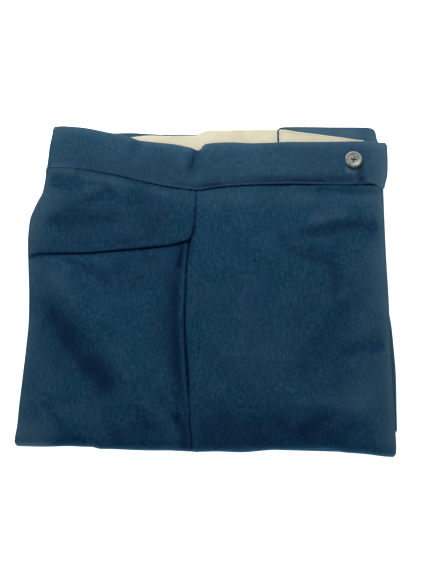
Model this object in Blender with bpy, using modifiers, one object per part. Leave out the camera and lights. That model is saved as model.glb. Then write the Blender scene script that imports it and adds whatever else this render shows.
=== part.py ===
# Wool military trousers, folded in three and laid flat with the right hip uppermost.
#
# The right half of the hips lies on top: waistband, back yoke, back panel and front panel. Both
# panels turn round the bottom fold and end under the bundle. The left half's waistband shows its
# cream lining beyond the right one, and the legs are folded away in between.
#
# Units are metres, +Z is up, +Y runs to the waist. The origin is the middle of the footprint, on
# the table. Tables are in millimetres, and MM turns them into metres.
import math
from collections import namedtuple

import bmesh
import bpy
import numpy as np
from mathutils import Vector

MM = 0.001

# Cloth
CLOTH = 1.8 * MM  # milled wool
BAND = 2.4 * MM  # waistband: wool folded over canvas
LINING = 0.9 * MM  # cotton drill
SEAM = 0.3 * MM  # between pieces that are sewn edge to edge

# The bundle
EDGE_HEIGHT = 28.0 * MM  # top of the side edges
CROWN = 6.0 * MM  # how far the middle stands above them
WAIST_DROP = 2.5 * MM  # how far the crown falls towards the waist
FOLD_REACH = 16.0 * MM  # from the start of the bottom fold to its foremost line
LIP = 3.0 * MM  # radius of a panel's rolled side edge
TUCK = 15.0 * MM  # length of panel that lies under the bundle
LEGS_HEIGHT = 19.8 * MM  # folded legs alone, under the waistbands
LEGS_END = 162.0 * MM  # waist end of the folded legs
LEGS_TURN = 11.0 * MM  # reach of their rounded end

# Outline of the right half, at the outermost line of its rolled edges.
Outline = namedtuple("Outline", "y left right")
OUTLINE = (
    Outline(y=131, left=-174.0, right=191.0),
    Outline(y=104, left=-176.7, right=190.6),
    Outline(y=94, left=-181.4, right=190.6),
    Outline(y=84, left=-185.5, right=190.6),
    Outline(y=72, left=-189.3, right=190.7),
    Outline(y=50, left=-190.4, right=190.8),
    Outline(y=20, left=-188.7, right=191.2),
    Outline(y=-10, left=-186.8, right=192.0),
    Outline(y=-40, left=-186.3, right=192.2),
    Outline(y=-70, left=-187.9, right=192.2),
    Outline(y=-100, left=-190.2, right=192.4),
    Outline(y=-125, left=-192.3, right=193.2),
    Outline(y=-150, left=-194.0, right=194.0),
    Outline(y=-170, left=-196.4, right=194.0),
)

# Foremost line of the bottom fold.
Fold = namedtuple("Fold", "x y")
BOTTOM_FOLD = (
    Fold(x=-196, y=-168.4),
    Fold(x=-118, y=-168.6),
    Fold(x=-108, y=-171.2),
    Fold(x=-68, y=-172.2),
    Fold(x=-16, y=-173.7),
    Fold(x=35, y=-174.2),
    Fold(x=76, y=-172.8),
    Fold(x=117, y=-173.2),
    Fold(x=148, y=-175.7),
    Fold(x=194, y=-179.6),
)

# Right waistband: its top edge and the seam below it.
Band = namedtuple("Band", "x top seam")
RIGHT_BAND = (
    Band(x=-176, top=177.0, seam=131.2),
    Band(x=-166, top=179.0, seam=131.1),
    Band(x=-156, top=179.6, seam=130.8),
    Band(x=-146, top=178.9, seam=130.2),
    Band(x=-133, top=177.7, seam=128.4),
    Band(x=-120, top=175.1, seam=126.0),
    Band(x=-107, top=172.2, seam=123.3),
    Band(x=-95, top=170.0, seam=120.4),
    Band(x=-87, top=168.0, seam=118.1),
    Band(x=-81, top=165.7, seam=116.4),
    Band(x=-74, top=163.0, seam=114.5),
    Band(x=-66, top=161.8, seam=112.6),
    Band(x=-55, top=160.5, seam=110.2),
    Band(x=-42, top=159.2, seam=107.9),
    Band(x=-29, top=157.3, seam=106.2),
    Band(x=-22, top=155.5, seam=105.6),
    Band(x=-16, top=154.0, seam=105.3),
    Band(x=-12, top=151.9, seam=105.2),
    Band(x=-9, top=151.0, seam=105.3),
    Band(x=-6, top=152.9, seam=105.5),
    Band(x=-3, top=157.6, seam=105.8),
    Band(x=1, top=158.9, seam=106.3),
    Band(x=8, top=160.0, seam=107.2),
    Band(x=25, top=160.6, seam=108.9),
    Band(x=43, top=159.8, seam=109.8),
    Band(x=58, top=159.2, seam=110.4),
    Band(x=72, top=158.9, seam=111.0),
    Band(x=90, top=159.8, seam=111.5),
    Band(x=123, top=159.7, seam=111.4),
    Band(x=150, top=160.2, seam=110.9),
    Band(x=172, top=160.6, seam=109.8),
    Band(x=188, top=159.0, seam=106.2),
)

# The outermost line of the waistband's two ends.
BandEnd = namedtuple("BandEnd", "y left right")
BAND_ENDS = (
    BandEnd(y=106, left=-176.2, right=191.6),
    BandEnd(y=124, left=-173.9, right=195.6),
    BandEnd(y=141, left=-172.2, right=196.4),
    BandEnd(y=156, left=-171.0, right=196.2),
    BandEnd(y=176, left=-168.4, right=190.0),
)

BAND_ROLL = 3.5 * MM  # radius of its rolled left end
BAND_CORNER = 4.0 * MM  # how far the roll rounds off its upper corner
BAND_FLAT = -170.0, 184.0  # its columns between the two ends lie within these, mm
WIDEST_STEP = 20.0  # columns further apart than this get one between them, mm

# The waistband runs on past its right end as a tab, folded back under it. Its edges, by x.
Tab = namedtuple("Tab", "x top low")
TAB = (
    Tab(x=188.5, top=160.0, low=109.5),
    Tab(x=186.0, top=164.5, low=113.0),
    Tab(x=184.0, top=169.0, low=117.5),
    Tab(x=181.0, top=175.0, low=122.0),
    Tab(x=176.0, top=178.0, low=126.0),
    Tab(x=165.0, top=178.6, low=128.6),
    Tab(x=134.0, top=178.8, low=128.8),
    Tab(x=103.0, top=179.2, low=129.0),
    Tab(x=84.0, top=179.0, low=129.2),
    Tab(x=80.0, top=177.8, low=130.2),
    Tab(x=78.0, top=174.6, low=132.0),
)

TAB_COLUMNS = (184.5, 181.0, 176.0, 165.0, 150.0, 134.0, 118.0, 103.0, 90.0, 84.0, 80.0, 78.0)

# Cream lining sewn on the tab, whose top edge slopes away from the tab's.
TabLining = namedtuple("TabLining", "x top low")
TAB_LINING = (
    TabLining(x=80.6, top=171.4, low=133.4),
    TabLining(x=83.0, top=173.6, low=131.4),
    TabLining(x=98.0, top=172.8, low=131.0),
    TabLining(x=113.0, top=171.5, low=131.0),
    TabLining(x=145.0, top=165.8, low=131.0),
    TabLining(x=171.0, top=161.0, low=131.0),
)

TAB_LINING_COLUMNS = (80.6, 83.0, 98.0, 113.0, 129.0, 145.0, 158.0, 171.0)

# Left waistband and the cream lining on its inner face. Each has its top edge, by x.
LeftBand = namedtuple("LeftBand", "x top lining")
LEFT_BAND = (
    LeftBand(x=-164, top=174.6, lining=166.0),
    LeftBand(x=-130, top=175.0, lining=166.4),
    LeftBand(x=-100, top=175.6, lining=166.6),
    LeftBand(x=-84, top=174.4, lining=167.8),
    LeftBand(x=-62, top=172.8, lining=170.2),
    LeftBand(x=-36, top=172.0, lining=169.8),
    LeftBand(x=-13, top=171.6, lining=169.8),
    LeftBand(x=-6, top=173.4, lining=173.4),
    LeftBand(x=2, top=175.6, lining=175.8),
    LeftBand(x=18, top=176.1, lining=176.3),
    LeftBand(x=36, top=176.5, lining=176.7),
    LeftBand(x=77, top=176.6, lining=176.8),
    LeftBand(x=130, top=176.4, lining=176.0),
    LeftBand(x=178, top=174.4, lining=174.0),
)
LEFT_BAND_LOW = 128.0 * MM  # its lower edge, sewn to the left half
LEFT_LINING_LOW = 130.0 * MM

# Side seam of the right leg, and the gap of the pocket mouth in it.
Seam = namedtuple("Seam", "y x gap")
SIDE_SEAM = (
    Seam(y=105, x=-11.2, gap=0.3),
    Seam(y=70, x=-12.1, gap=0.3),
    Seam(y=57, x=-13.4, gap=0.5),
    Seam(y=46, x=-17.6, gap=0.9),
    Seam(y=23, x=-20.4, gap=0.8),
    Seam(y=-8, x=-21.8, gap=0.8),
    Seam(y=-40, x=-22.6, gap=1.1),
    Seam(y=-66, x=-21.4, gap=1.6),
    Seam(y=-92, x=-19.6, gap=2.0),
    Seam(y=-112, x=-18.4, gap=1.6),
    Seam(y=-128, x=-17.4, gap=0.3),
    Seam(y=-150, x=-16.2, gap=0.3),
    Seam(y=-172, x=-14.6, gap=0.3),
)

# Seam under the back yoke. Right of the side seam it only guides the front panel's mesh.
Yoke = namedtuple("Yoke", "x y")
YOKE_SEAM = (
    Yoke(x=-192, y=28.0),
    Yoke(x=-167, y=32.0),
    Yoke(x=-129, y=33.9),
    Yoke(x=-102, y=36.8),
    Yoke(x=-63, y=40.6),
    Yoke(x=-38, y=43.8),
    Yoke(x=-18, y=46.8),
    Yoke(x=60, y=40.0),
    Yoke(x=194, y=34.0),
)

# The largest folds in the right half: soft troughs from one point to another.
Trough = namedtuple("Trough", "x0 y0 x1 y1 half_width depth")
HIP_TROUGHS = (
    Trough(x0=-166, y0=-28, x1=-139, y1=-64, half_width=10, depth=3.6),
    Trough(x0=-136, y0=-68, x1=-106, y1=-110, half_width=10, depth=3.6),
    Trough(x0=-160, y0=68, x1=-132, y1=88, half_width=9, depth=2.0),
    Trough(x0=-132, y0=88, x1=-108, y1=98, half_width=8, depth=1.6),
    Trough(x0=-158, y0=66, x1=-100, y1=71, half_width=9, depth=1.7),
    Trough(x0=-142, y0=22, x1=-110, y1=9, half_width=6, depth=1.5),
    Trough(x0=101, y0=54, x1=163, y1=68, half_width=8, depth=2.4),
    Trough(x0=84, y0=46, x1=132, y1=29, half_width=7, depth=1.9),
    Trough(x0=154, y0=-26, x1=116, y1=-66, half_width=9, depth=1.5),
    Trough(x0=116, y0=-66, x1=99, y1=-98, half_width=9, depth=1.3),
    Trough(x0=146, y0=-71, x1=180, y1=-58, half_width=9, depth=1.7),
    Trough(x0=113, y0=-136, x1=93, y1=-160, half_width=11, depth=2.6),
    Trough(x0=10, y0=-142, x1=48, y1=-154, half_width=12, depth=2.0),
    Trough(x0=-38, y0=-134, x1=-20, y1=-160, half_width=7, depth=2.0),
)
BAND_TROUGHS = (
    Trough(x0=-12.5, y0=150, x1=-17.5, y1=130, half_width=4.5, depth=2.0),
    Trough(x0=164, y0=122, x1=165, y1=112, half_width=5.0, depth=1.5),
)

# The hollow beside the pocket mouth, given by how far it lies from the side seam.
PocketHollow = namedtuple("PocketHollow", "y away depth")
POCKET_HOLLOW = (
    PocketHollow(y=52, away=9.0, depth=0.0),
    PocketHollow(y=33, away=9.5, depth=2.4),
    PocketHollow(y=0, away=12.5, depth=3.4),
    PocketHollow(y=-40, away=13.0, depth=3.6),
    PocketHollow(y=-83, away=13.0, depth=3.6),
    PocketHollow(y=-112, away=11.0, depth=2.4),
    PocketHollow(y=-136, away=9.0, depth=0.0),
)
HOLLOW_HALF_WIDTH = 4.6 * MM

# The folded legs, from the table up: how far each layer's folded edge lies inside the outline,
# near the bottom fold and near the waist.
Layer = namedtuple("Layer", "left right left_waist right_waist")
LEG_LAYERS = (
    Layer(left=3.6, right=3.0, left_waist=6.0, right_waist=4.5),
    Layer(left=5.4, right=4.2, left_waist=8.0, right_waist=6.0),
    Layer(left=6.4, right=2.2, left_waist=9.0, right_waist=7.0),
    Layer(left=4.2, right=1.2, left_waist=6.0, right_waist=5.0),
)
LOW_INSETS, WAIST_INSETS = -140.0 * MM, 140.0 * MM  # where those apply; they blend in between
# The topmost layer stands out past the right edge over this stretch, as the photo shows.
PEEK_START, PEEK_END = -22.0 * MM, -168.0 * MM
PEEK_REACH = 4.8 * MM
GROOVE = 2.0 * MM  # depth of the grooves between the layers
NOSE_CLEAR = 0.8 * MM  # more room for them inside the bottom fold
TOP_REACH = 14.0 * MM  # their top passes under every fold this near
UNDER_PANEL = CLOTH + 1.0 * MM  # from the panels' outer face to the legs under them
LIP_CLEAR = LIP + 1.6 * MM  # the legs stay this far inside the outline beside a rolled edge
LIP_BLEND = 8.0 * MM  # they draw in to that over this length
TUCK_CLEAR, OPEN_CLEAR = 0.8 * MM, 1.2 * MM  # past the panels' ends the legs come down to the table
END_DRAW_IN = 8.0 * MM  # their waist end is narrower by this much on each side
BAND_STEP = LEFT_BAND_LOW - SEAM  # here the left half ends and its waistband begins
TAB_CORNER_X, TAB_CORNER_Y = 152.0 * MM, 100.0 * MM  # the legs lie low under this corner

# Where the pocket's facing lies, across the side seam and along it.
FACING_BACK, FACING_FRONT = 3.6 * MM, 14.0 * MM
FACING_TOP, FACING_FOOT = 44.0 * MM, -126.0 * MM
FACING = 1.4 * MM

# Waist button: horn, four holes
BUTTON_X, BUTTON_Y = 158.6 * MM, 140.0 * MM
BUTTON_RADIUS = 9.5 * MM
BUTTON_HEIGHT = 3.2 * MM
BUTTON_RIM = 1.7 * MM
BUTTON_DISH = 0.9 * MM
HOLE_RADIUS = 0.95 * MM
HOLE_OFFSET = 2.1 * MM
HOLE_TURN = math.radians(32)

# Mesh rows and columns
YOKE_ROWS, PANEL_ROWS = 7, 15  # waist to yoke seam, yoke seam to bottom fold
FOLD_STEPS, TUCK_STEPS, LIP_STEPS, BAND_ROWS, LINING_ROWS = 8, 2, 6, 5, 3
LAST_OPEN_ROW = YOKE_ROWS + PANEL_ROWS - 2  # the last row that the panels' ends don't lie under
LEG_BACK_COLUMNS = (0, 2, 4, 6, 8, 10, 13)  # the legs' top has fewer columns
LEG_FRONT_COLUMNS = (2, 3, 5, 7, 9, 11, 13, 14, 16)
BACK_OFFSETS = (0.0, 4.0, 8.5, 13.5, 19.0, 28.0)  # from the side seam, mm
FRONT_OFFSETS = (0.0, 5.0, 14.5, 26.0)
BACK_COLUMNS, FRONT_COLUMNS = 10, 13  # evenly over the rest


def smooth_curve(rows, at, value):
    """A smooth curve through a table's rows, held level past both ends, in metres."""
    knots = sorted((getattr(row, at) * MM, getattr(row, value) * MM) for row in rows)
    xs = np.array([knot[0] for knot in knots])
    ys = np.array([knot[1] for knot in knots])
    rise = np.diff(ys) / np.diff(xs)
    slope = np.zeros(len(xs))
    level = rise[:-1] * rise[1:] <= 0  # a peak or a dip stays where its row is
    slope[1:-1] = np.where(level, 0.0, (rise[:-1] + rise[1:]) / 2)
    limit = 2 * np.minimum(np.abs(rise[:-1]), np.abs(rise[1:]))
    slope[1:-1] = np.clip(slope[1:-1], -limit, limit)

    def curve(x):
        x = min(max(x, xs[0]), xs[-1])
        i = min(max(int(np.searchsorted(xs, x)) - 1, 0), len(xs) - 2)
        width = xs[i + 1] - xs[i]
        t = (x - xs[i]) / width
        return (
            (2 * t**3 - 3 * t**2 + 1) * ys[i]
            + (t**3 - 2 * t**2 + t) * width * slope[i]
            + (3 * t**2 - 2 * t**3) * ys[i + 1]
            + (t**3 - t**2) * width * slope[i + 1]
        )

    return curve


left_edge = smooth_curve(OUTLINE, "y", "left")
right_edge = smooth_curve(OUTLINE, "y", "right")
fold_line = smooth_curve(BOTTOM_FOLD, "x", "y")
band_top = smooth_curve(RIGHT_BAND, "x", "top")
waist_seam = smooth_curve(RIGHT_BAND, "x", "seam")
band_left = smooth_curve(BAND_ENDS, "y", "left")
band_right = smooth_curve(BAND_ENDS, "y", "right")
tab_top = smooth_curve(TAB, "x", "top")
tab_low = smooth_curve(TAB, "x", "low")
tab_lining_top = smooth_curve(TAB_LINING, "x", "top")
tab_lining_low = smooth_curve(TAB_LINING, "x", "low")
left_band_top = smooth_curve(LEFT_BAND, "x", "top")
left_lining_top = smooth_curve(LEFT_BAND, "x", "lining")
side_seam = smooth_curve(SIDE_SEAM, "y", "x")
mouth_gap = smooth_curve(SIDE_SEAM, "y", "gap")
yoke_seam = smooth_curve(YOKE_SEAM, "x", "y")
hollow_away = smooth_curve(POCKET_HOLLOW, "y", "away")
hollow_depth = smooth_curve(POCKET_HOLLOW, "y", "depth")


def ease(t):
    """0 before 0, 1 after 1, and a smooth rise between."""
    t = min(max(t, 0.0), 1.0)
    return t * t * (3 - 2 * t)


def trough_depth(troughs, x, y):
    """How far the troughs lower the cloth at a point."""
    total = 0.0
    for trough in troughs:
        start = Vector((trough.x0, trough.y0)) * MM
        run = Vector((trough.x1, trough.y1)) * MM - start
        here = Vector((x, y)) - start
        t = min(max(here.dot(run) / run.length_squared, 0.0), 1.0)
        away = (here - run * t).length / (trough.half_width * MM)
        total += trough.depth * MM * math.exp(-away * away)
    return total


def hip_height(x, y):
    """Height of the right half's outer face above the table, folds included."""
    left, right = left_edge(y), right_edge(y)
    across = (2 * x - left - right) / (right - left)
    crown = CROWN - WAIST_DROP * ease((y - 20 * MM) / (100 * MM))
    dome = crown * (1 - min(abs(across), 1.0) ** 2.6)
    beside = (side_seam(y) - hollow_away(y) - x) / HOLLOW_HALF_WIDTH
    hollow = hollow_depth(y) * math.exp(-beside * beside)
    return EDGE_HEIGHT + dome - hollow - trough_depth(HIP_TROUGHS, x, y)


# The top edge of the right waistband rests on the left one's lining, or on the tab's.
LEFT_BAND_FOOT = LEGS_HEIGHT + SEAM
LEFT_LINING_FOOT = LEFT_BAND_FOOT + CLOTH + SEAM
TAB_FOOT = LEFT_LINING_FOOT + LINING + SEAM
TAB_LINING_FOOT = TAB_FOOT + BAND + SEAM
BAND_EDGE_LOW = TAB_FOOT + BAND + 0.6 * MM
BAND_EDGE_HIGH = TAB_LINING_FOOT + LINING + SEAM + BAND + 0.4 * MM
BAND_RAISE = 1.0 * MM  # the waistband stands proud of the panels at its seam
TAB_START, TAB_FULL = 44.0 * MM, 76.0 * MM  # where the waistband climbs on to the tab


def band_height(x, y):
    """Height of the right waistband's outer face."""
    seam, top = waist_seam(x), band_top(x)
    at_seam = hip_height(x, seam) + BAND_RAISE
    climb = ease((x - TAB_START) / (TAB_FULL - TAB_START))
    at_top = BAND_EDGE_LOW + climb * (BAND_EDGE_HIGH - BAND_EDGE_LOW)
    up = min(max((y - seam) / (top - seam), 0.0), 1.0)
    plain = at_seam + (at_top - at_seam) * up**1.3
    return max(plain - trough_depth(BAND_TROUGHS, x, y), BAND_EDGE_LOW)


def wrapped(x, row, depth):
    """A point of the right half, at a row of its path and a depth under its outer face.

    The path runs down the top, turns round the bottom fold and comes back under the bundle.
    """
    kind, value = row
    start = fold_line(x) + FOLD_REACH
    if kind == "top":
        return Vector((x, value, hip_height(x, value) - depth))
    height = hip_height(x, start)
    if kind == "fold":
        reach, rise = FOLD_REACH - depth, height / 2 - depth
        y = start - reach * math.sin(value)
        return Vector((x, y, height / 2 + rise * math.cos(value)))
    return Vector((x, start + value, depth))


def row_y(row, x):
    """y of a mesh row of the hips at x: waist seam, yoke seam and bottom fold are rows."""
    waist, yoke, fold = waist_seam(x), yoke_seam(x), fold_line(x) + FOLD_REACH
    if row <= YOKE_ROWS:
        return waist + (yoke - waist) * row / YOKE_ROWS
    return yoke + (fold - yoke) * (row - YOKE_ROWS) / PANEL_ROWS


def back_x(column, y):
    """x of a mesh column of the back at y, from its rolled edge to the side seam."""
    seam, shoulder = side_seam(y), left_edge(y) + LIP
    if column >= BACK_COLUMNS:
        return seam - BACK_OFFSETS[BACK_COLUMNS + len(BACK_OFFSETS) - 1 - column] * MM
    last = seam - BACK_OFFSETS[-1] * MM
    return shoulder + (last - shoulder) * column / BACK_COLUMNS


def front_x(column, y):
    """x of a mesh column of the front at y, from the side seam to its rolled edge."""
    seam, shoulder = side_seam(y), right_edge(y) - LIP
    if column < len(FRONT_OFFSETS):
        return seam + FRONT_OFFSETS[column] * MM
    first = seam + FRONT_OFFSETS[-1] * MM
    return first + (shoulder - first) * (column - len(FRONT_OFFSETS) + 1) / FRONT_COLUMNS


def settled(row, column, column_x):
    """x and y where a mesh row and a mesh column cross."""
    x = column_x(column, row_y(row, 0.0))
    for _ in range(4):
        y = row_y(row, x)
        x = column_x(column, y)
    return x, y


def spot(kind, value, column, column_x):
    """x and y where a row of a panel's path crosses a mesh column."""
    if kind == "hip":
        return settled(value, column, column_x)
    _, y = settled(YOKE_ROWS + PANEL_ROWS, column, column_x)
    y += -FOLD_REACH * math.sin(value) if kind == "fold" else value
    return column_x(column, y), y


def path_rows(first):
    """Rows of a panel's path, from a hip row to its end under the bundle."""
    rows = [("hip", row) for row in range(first, YOKE_ROWS + PANEL_ROWS)]
    rows += [("fold", math.pi * step / FOLD_STEPS) for step in range(FOLD_STEPS)]
    return rows + [("under", TUCK * step / TUCK_STEPS) for step in range(TUCK_STEPS + 1)]


def lip_points(side, place, row):
    """The rolled side edge at a row, from its hidden end up to the shoulder."""
    points = []
    for step in range(LIP_STEPS, 0, -1):
        turn = math.pi * step / LIP_STEPS
        x = place + side * LIP * math.sin(turn)
        points.append(wrapped(x, row, LIP * (1 - math.cos(turn))))
    return points


def new_object(name, mesh, material):
    thing = bpy.data.objects.new(name, mesh)
    thing.data.materials.append(material)
    trousers.objects.link(thing)
    return thing


def cloth(name, grid, wall, material):
    """A cloth piece: a grid of points on its outer face, given its wall inwards."""
    rows, columns = len(grid), len(grid[0])
    shape = bmesh.new()
    bmesh.ops.create_grid(shape, x_segments=columns - 1, y_segments=rows - 1, size=1)
    for vertex, point in zip(shape.verts, (p for row in grid for p in row)):
        vertex.co = point
    bmesh.ops.reverse_faces(shape, faces=shape.faces)  # rows run down, so faces looked inwards
    mesh = bpy.data.meshes.new(name)
    shape.to_mesh(mesh)
    shape.free()
    mesh.shade_smooth()
    piece = new_object(name, mesh, material)
    solid = piece.modifiers.new("wall", "SOLIDIFY")
    solid.thickness = wall
    solid.offset = -1
    solid.use_even_offset = True
    return piece


def back_grid(first):
    """Grid of the back, rows down the path and columns from the rolled edge to the seam."""
    grid = []
    for kind, value in path_rows(first):
        line = []
        for column in range(BACK_COLUMNS + len(BACK_OFFSETS)):
            x, y = spot(kind, value, column, back_x)
            if column == BACK_COLUMNS + len(BACK_OFFSETS) - 1:
                x -= mouth_gap(y) / 2
            row = ("top", y) if kind == "hip" else (kind, value)
            if column == 0:
                line += lip_points(-1, x, row)
            line.append(wrapped(x, row, 0.0))
        grid.append(line)
    return grid


def front_grid():
    """Grid of the front, columns from the side seam to the rolled edge."""
    grid = []
    for kind, value in path_rows(0):
        line = []
        for column in range(len(FRONT_OFFSETS) + FRONT_COLUMNS):
            x, y = spot(kind, value, column, front_x)
            if column == 0:
                x += mouth_gap(y) / 2
            row = ("top", y) if kind == "hip" else (kind, value)
            line.append(wrapped(x, row, 0.0))
        line += reversed(lip_points(1, x, row))
        grid.append(line)
    return grid


def moved_rows(grid, row, shift):
    """The same grid with one row moved along y, to leave the gap of a seam."""
    grid[row] = [point + Vector((0, shift, 0)) for point in grid[row]]
    return grid


def back_yoke():
    grid = back_grid(0)[: YOKE_ROWS + 1]
    moved_rows(grid, 0, -SEAM)
    moved_rows(grid, YOKE_ROWS, SEAM)
    return cloth("back_yoke", grid, CLOTH, wool)


def back_panel():
    return cloth("back_panel", moved_rows(back_grid(YOKE_ROWS), 0, -SEAM), CLOTH, wool)


def front_panel():
    return cloth("front_panel", moved_rows(front_grid(), 0, -SEAM), CLOTH, wool)


def pocket_facing():
    """The strip of wool seen through the pocket mouth, sewn on under the back panel's edge."""
    grid = []
    for row in range(YOKE_ROWS, YOKE_ROWS + PANEL_ROWS):
        y = min(row_y(row, side_seam(0)), FACING_TOP)
        if y < FACING_FOOT:
            continue
        seam = side_seam(y)
        places = [seam + x for x in (-FACING_BACK, 0.0, 5 * MM, 9.5 * MM, FACING_FRONT)]
        grid.append([Vector((x, y, hip_height(x, y) - CLOTH - SEAM)) for x in places])
    return cloth("pocket_facing", grid, FACING, wool)


def between(stops):
    """The stops of a table in order, with one more in each wide step."""
    stops = sorted(stops)
    return sorted(stops + [(a + b) / 2 for a, b in zip(stops, stops[1:]) if b - a > WIDEST_STEP])


def band_point(kind, value, up):
    """A point of the right waistband, up from its seam (0) to its top edge (1)."""
    if kind == "tab":
        low, top = tab_low(value), tab_top(value)
        return Vector((value, low + (top - low) * up, TAB_FOOT))
    if kind == "flat":
        low, top = waist_seam(value), band_top(value)
        y = low + (top - low) * up
        return Vector((value, y, band_height(value, y)))
    if kind == "left roll":
        first = RIGHT_BAND[0].x * MM
        low, top = waist_seam(first), band_top(first)
        y = low + (top - low) * up
        place = band_left(y) + BAND_ROLL
        level = band_height(place, y)
        drop = BAND_CORNER * math.sin(value) ** 2 * max(5 * up - 4, 0)
        x = place - BAND_ROLL * math.sin(value)
        return Vector((x, y - drop, level - BAND_ROLL * (1 - math.cos(value))))
    radius = (BAND_EDGE_HIGH - TAB_FOOT) / 2
    share = value / math.pi
    last, tab_first = RIGHT_BAND[-1].x * MM, TAB[0].x * MM
    low = waist_seam(last) + (tab_low(tab_first) - waist_seam(last)) * share
    top = band_top(last) + (tab_top(tab_first) - band_top(last)) * share
    y = low + (top - low) * up
    place = band_right(y) - radius
    start = band_height(place, y)
    level = start + (BAND_EDGE_HIGH - start) * share
    return Vector((place + radius * math.sin(value), y, level - radius * (1 - math.cos(value))))


def right_waistband():
    """The waistband: rolled at its left end, folded at its right end to run back as a tab."""
    turns = [math.pi * step / LIP_STEPS for step in range(LIP_STEPS + 1)]
    columns = [("left roll", turn) for turn in reversed(turns)]
    stops = between(row.x for row in RIGHT_BAND)
    columns += [("flat", x * MM) for x in stops if BAND_FLAT[0] < x < BAND_FLAT[1]]
    columns += [("right turn", turn) for turn in turns]
    columns += [("tab", x * MM) for x in TAB_COLUMNS]
    grid = []
    for row in range(BAND_ROWS + 1):
        up = 1 - row / BAND_ROWS
        grid.append([band_point(kind, value, up) for kind, value in columns])
    return cloth("right_waistband", grid, BAND, wool)


def strip(name, stops, top_edge, low_edge, face, wall, material):
    """A flat strip of cloth between two edges, with its outer face at one height."""
    grid = []
    for row in range(LINING_ROWS + 1):
        down = row / LINING_ROWS
        line = []
        for x in stops:
            top, low = top_edge(x * MM), low_edge(x * MM)
            line.append(Vector((x * MM, top + (low - top) * down, face)))
        grid.append(line)
    return cloth(name, grid, wall, material)


def tab_lining():
    """Cream lining on the tab's inner face, which lies upwards."""
    face = TAB_LINING_FOOT + LINING
    edges = tab_lining_top, tab_lining_low
    return strip("tab_lining", TAB_LINING_COLUMNS, *edges, face, LINING, drill)


def left_waistband():
    stops, face = between(row.x for row in LEFT_BAND), LEFT_BAND_FOOT + CLOTH
    edges = left_band_top, lambda x: LEFT_BAND_LOW
    return strip("left_waistband", stops, *edges, face, CLOTH, wool)


def left_waistband_lining():
    stops, face = between(row.x for row in LEFT_BAND), LEFT_LINING_FOOT + LINING
    edges = left_lining_top, lambda x: LEFT_LINING_LOW
    return strip("left_waistband_lining", stops, *edges, face, LINING, drill)


def layer_inset(index, side, y, fold_start):
    """How far a leg layer's folded edge lies inside the outline at y."""
    layer = LEG_LAYERS[index]
    low, high = (layer.left, layer.left_waist) if side < 0 else (layer.right, layer.right_waist)
    inset = (low + (high - low) * ease((y - LOW_INSETS) / (WAIST_INSETS - LOW_INSETS))) * MM
    if side > 0 and index == len(LEG_LAYERS) - 1:
        share = (y - PEEK_START) / (PEEK_END - PEEK_START)
        inset -= PEEK_REACH * math.sqrt(math.sin(math.pi * min(max(share, 0.0), 1.0)))
    in_lip = fold_start + (TUCK + LIP if index < 2 else SEAM)
    pulled_in = ease((in_lip + LIP_BLEND - y) / LIP_BLEND)
    return inset + (max(inset, LIP_CLEAR) - inset) * pulled_in


def layered_side(side, y, foot, brow, fold_start):
    """Side of the folded legs: inset and height of its points, from the table up."""
    pitch = (brow - foot) / len(LEG_LAYERS)
    insets = [layer_inset(index, side, y, fold_start) for index in range(len(LEG_LAYERS))]
    points = [(insets[0] + GROOVE, foot)]
    for index, inset in enumerate(insets):
        for turn in (-0.7, 0.7):
            height = foot + pitch * (index + 0.5 + 0.5 * math.sin(turn))
            points.append((inset + GROOVE * (1 - math.cos(turn)), height))
        above = insets[min(index + 1, len(insets) - 1)]
        points.append((max(inset, above) + GROOVE, foot + pitch * (index + 1)))
    return points


def legs_top(x, y):
    """Height of the legs' top: below every point near by of the panels and the waistband."""
    if y > TAB_CORNER_Y and x > TAB_CORNER_X:
        return LEGS_HEIGHT
    cover = []
    for i in range(-2, 3):
        for j in range(-2, 3):
            near = x + i * TOP_REACH / 2, y + j * TOP_REACH / 2
            in_band = near[1] > waist_seam(near[0])
            cover.append(band_height(*near) - BAND_RAISE if in_band else hip_height(*near))
    offset = x - side_seam(y)
    beside = -FACING_BACK - 2 * LIP < offset < FACING_FRONT + LIP
    sunk = beside and FACING_FOOT - 2 * TOP_REACH < y < FACING_TOP + 2 * TOP_REACH
    return min(cover) - UNDER_PANEL - (FACING + SEAM if sunk else 0.0)


def inside_fold(x):
    """y where the bottom fold starts, taken from its innermost point near by."""
    return FOLD_REACH + max(fold_line(x + i * TOP_REACH / 2) for i in range(-2, 3))


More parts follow.
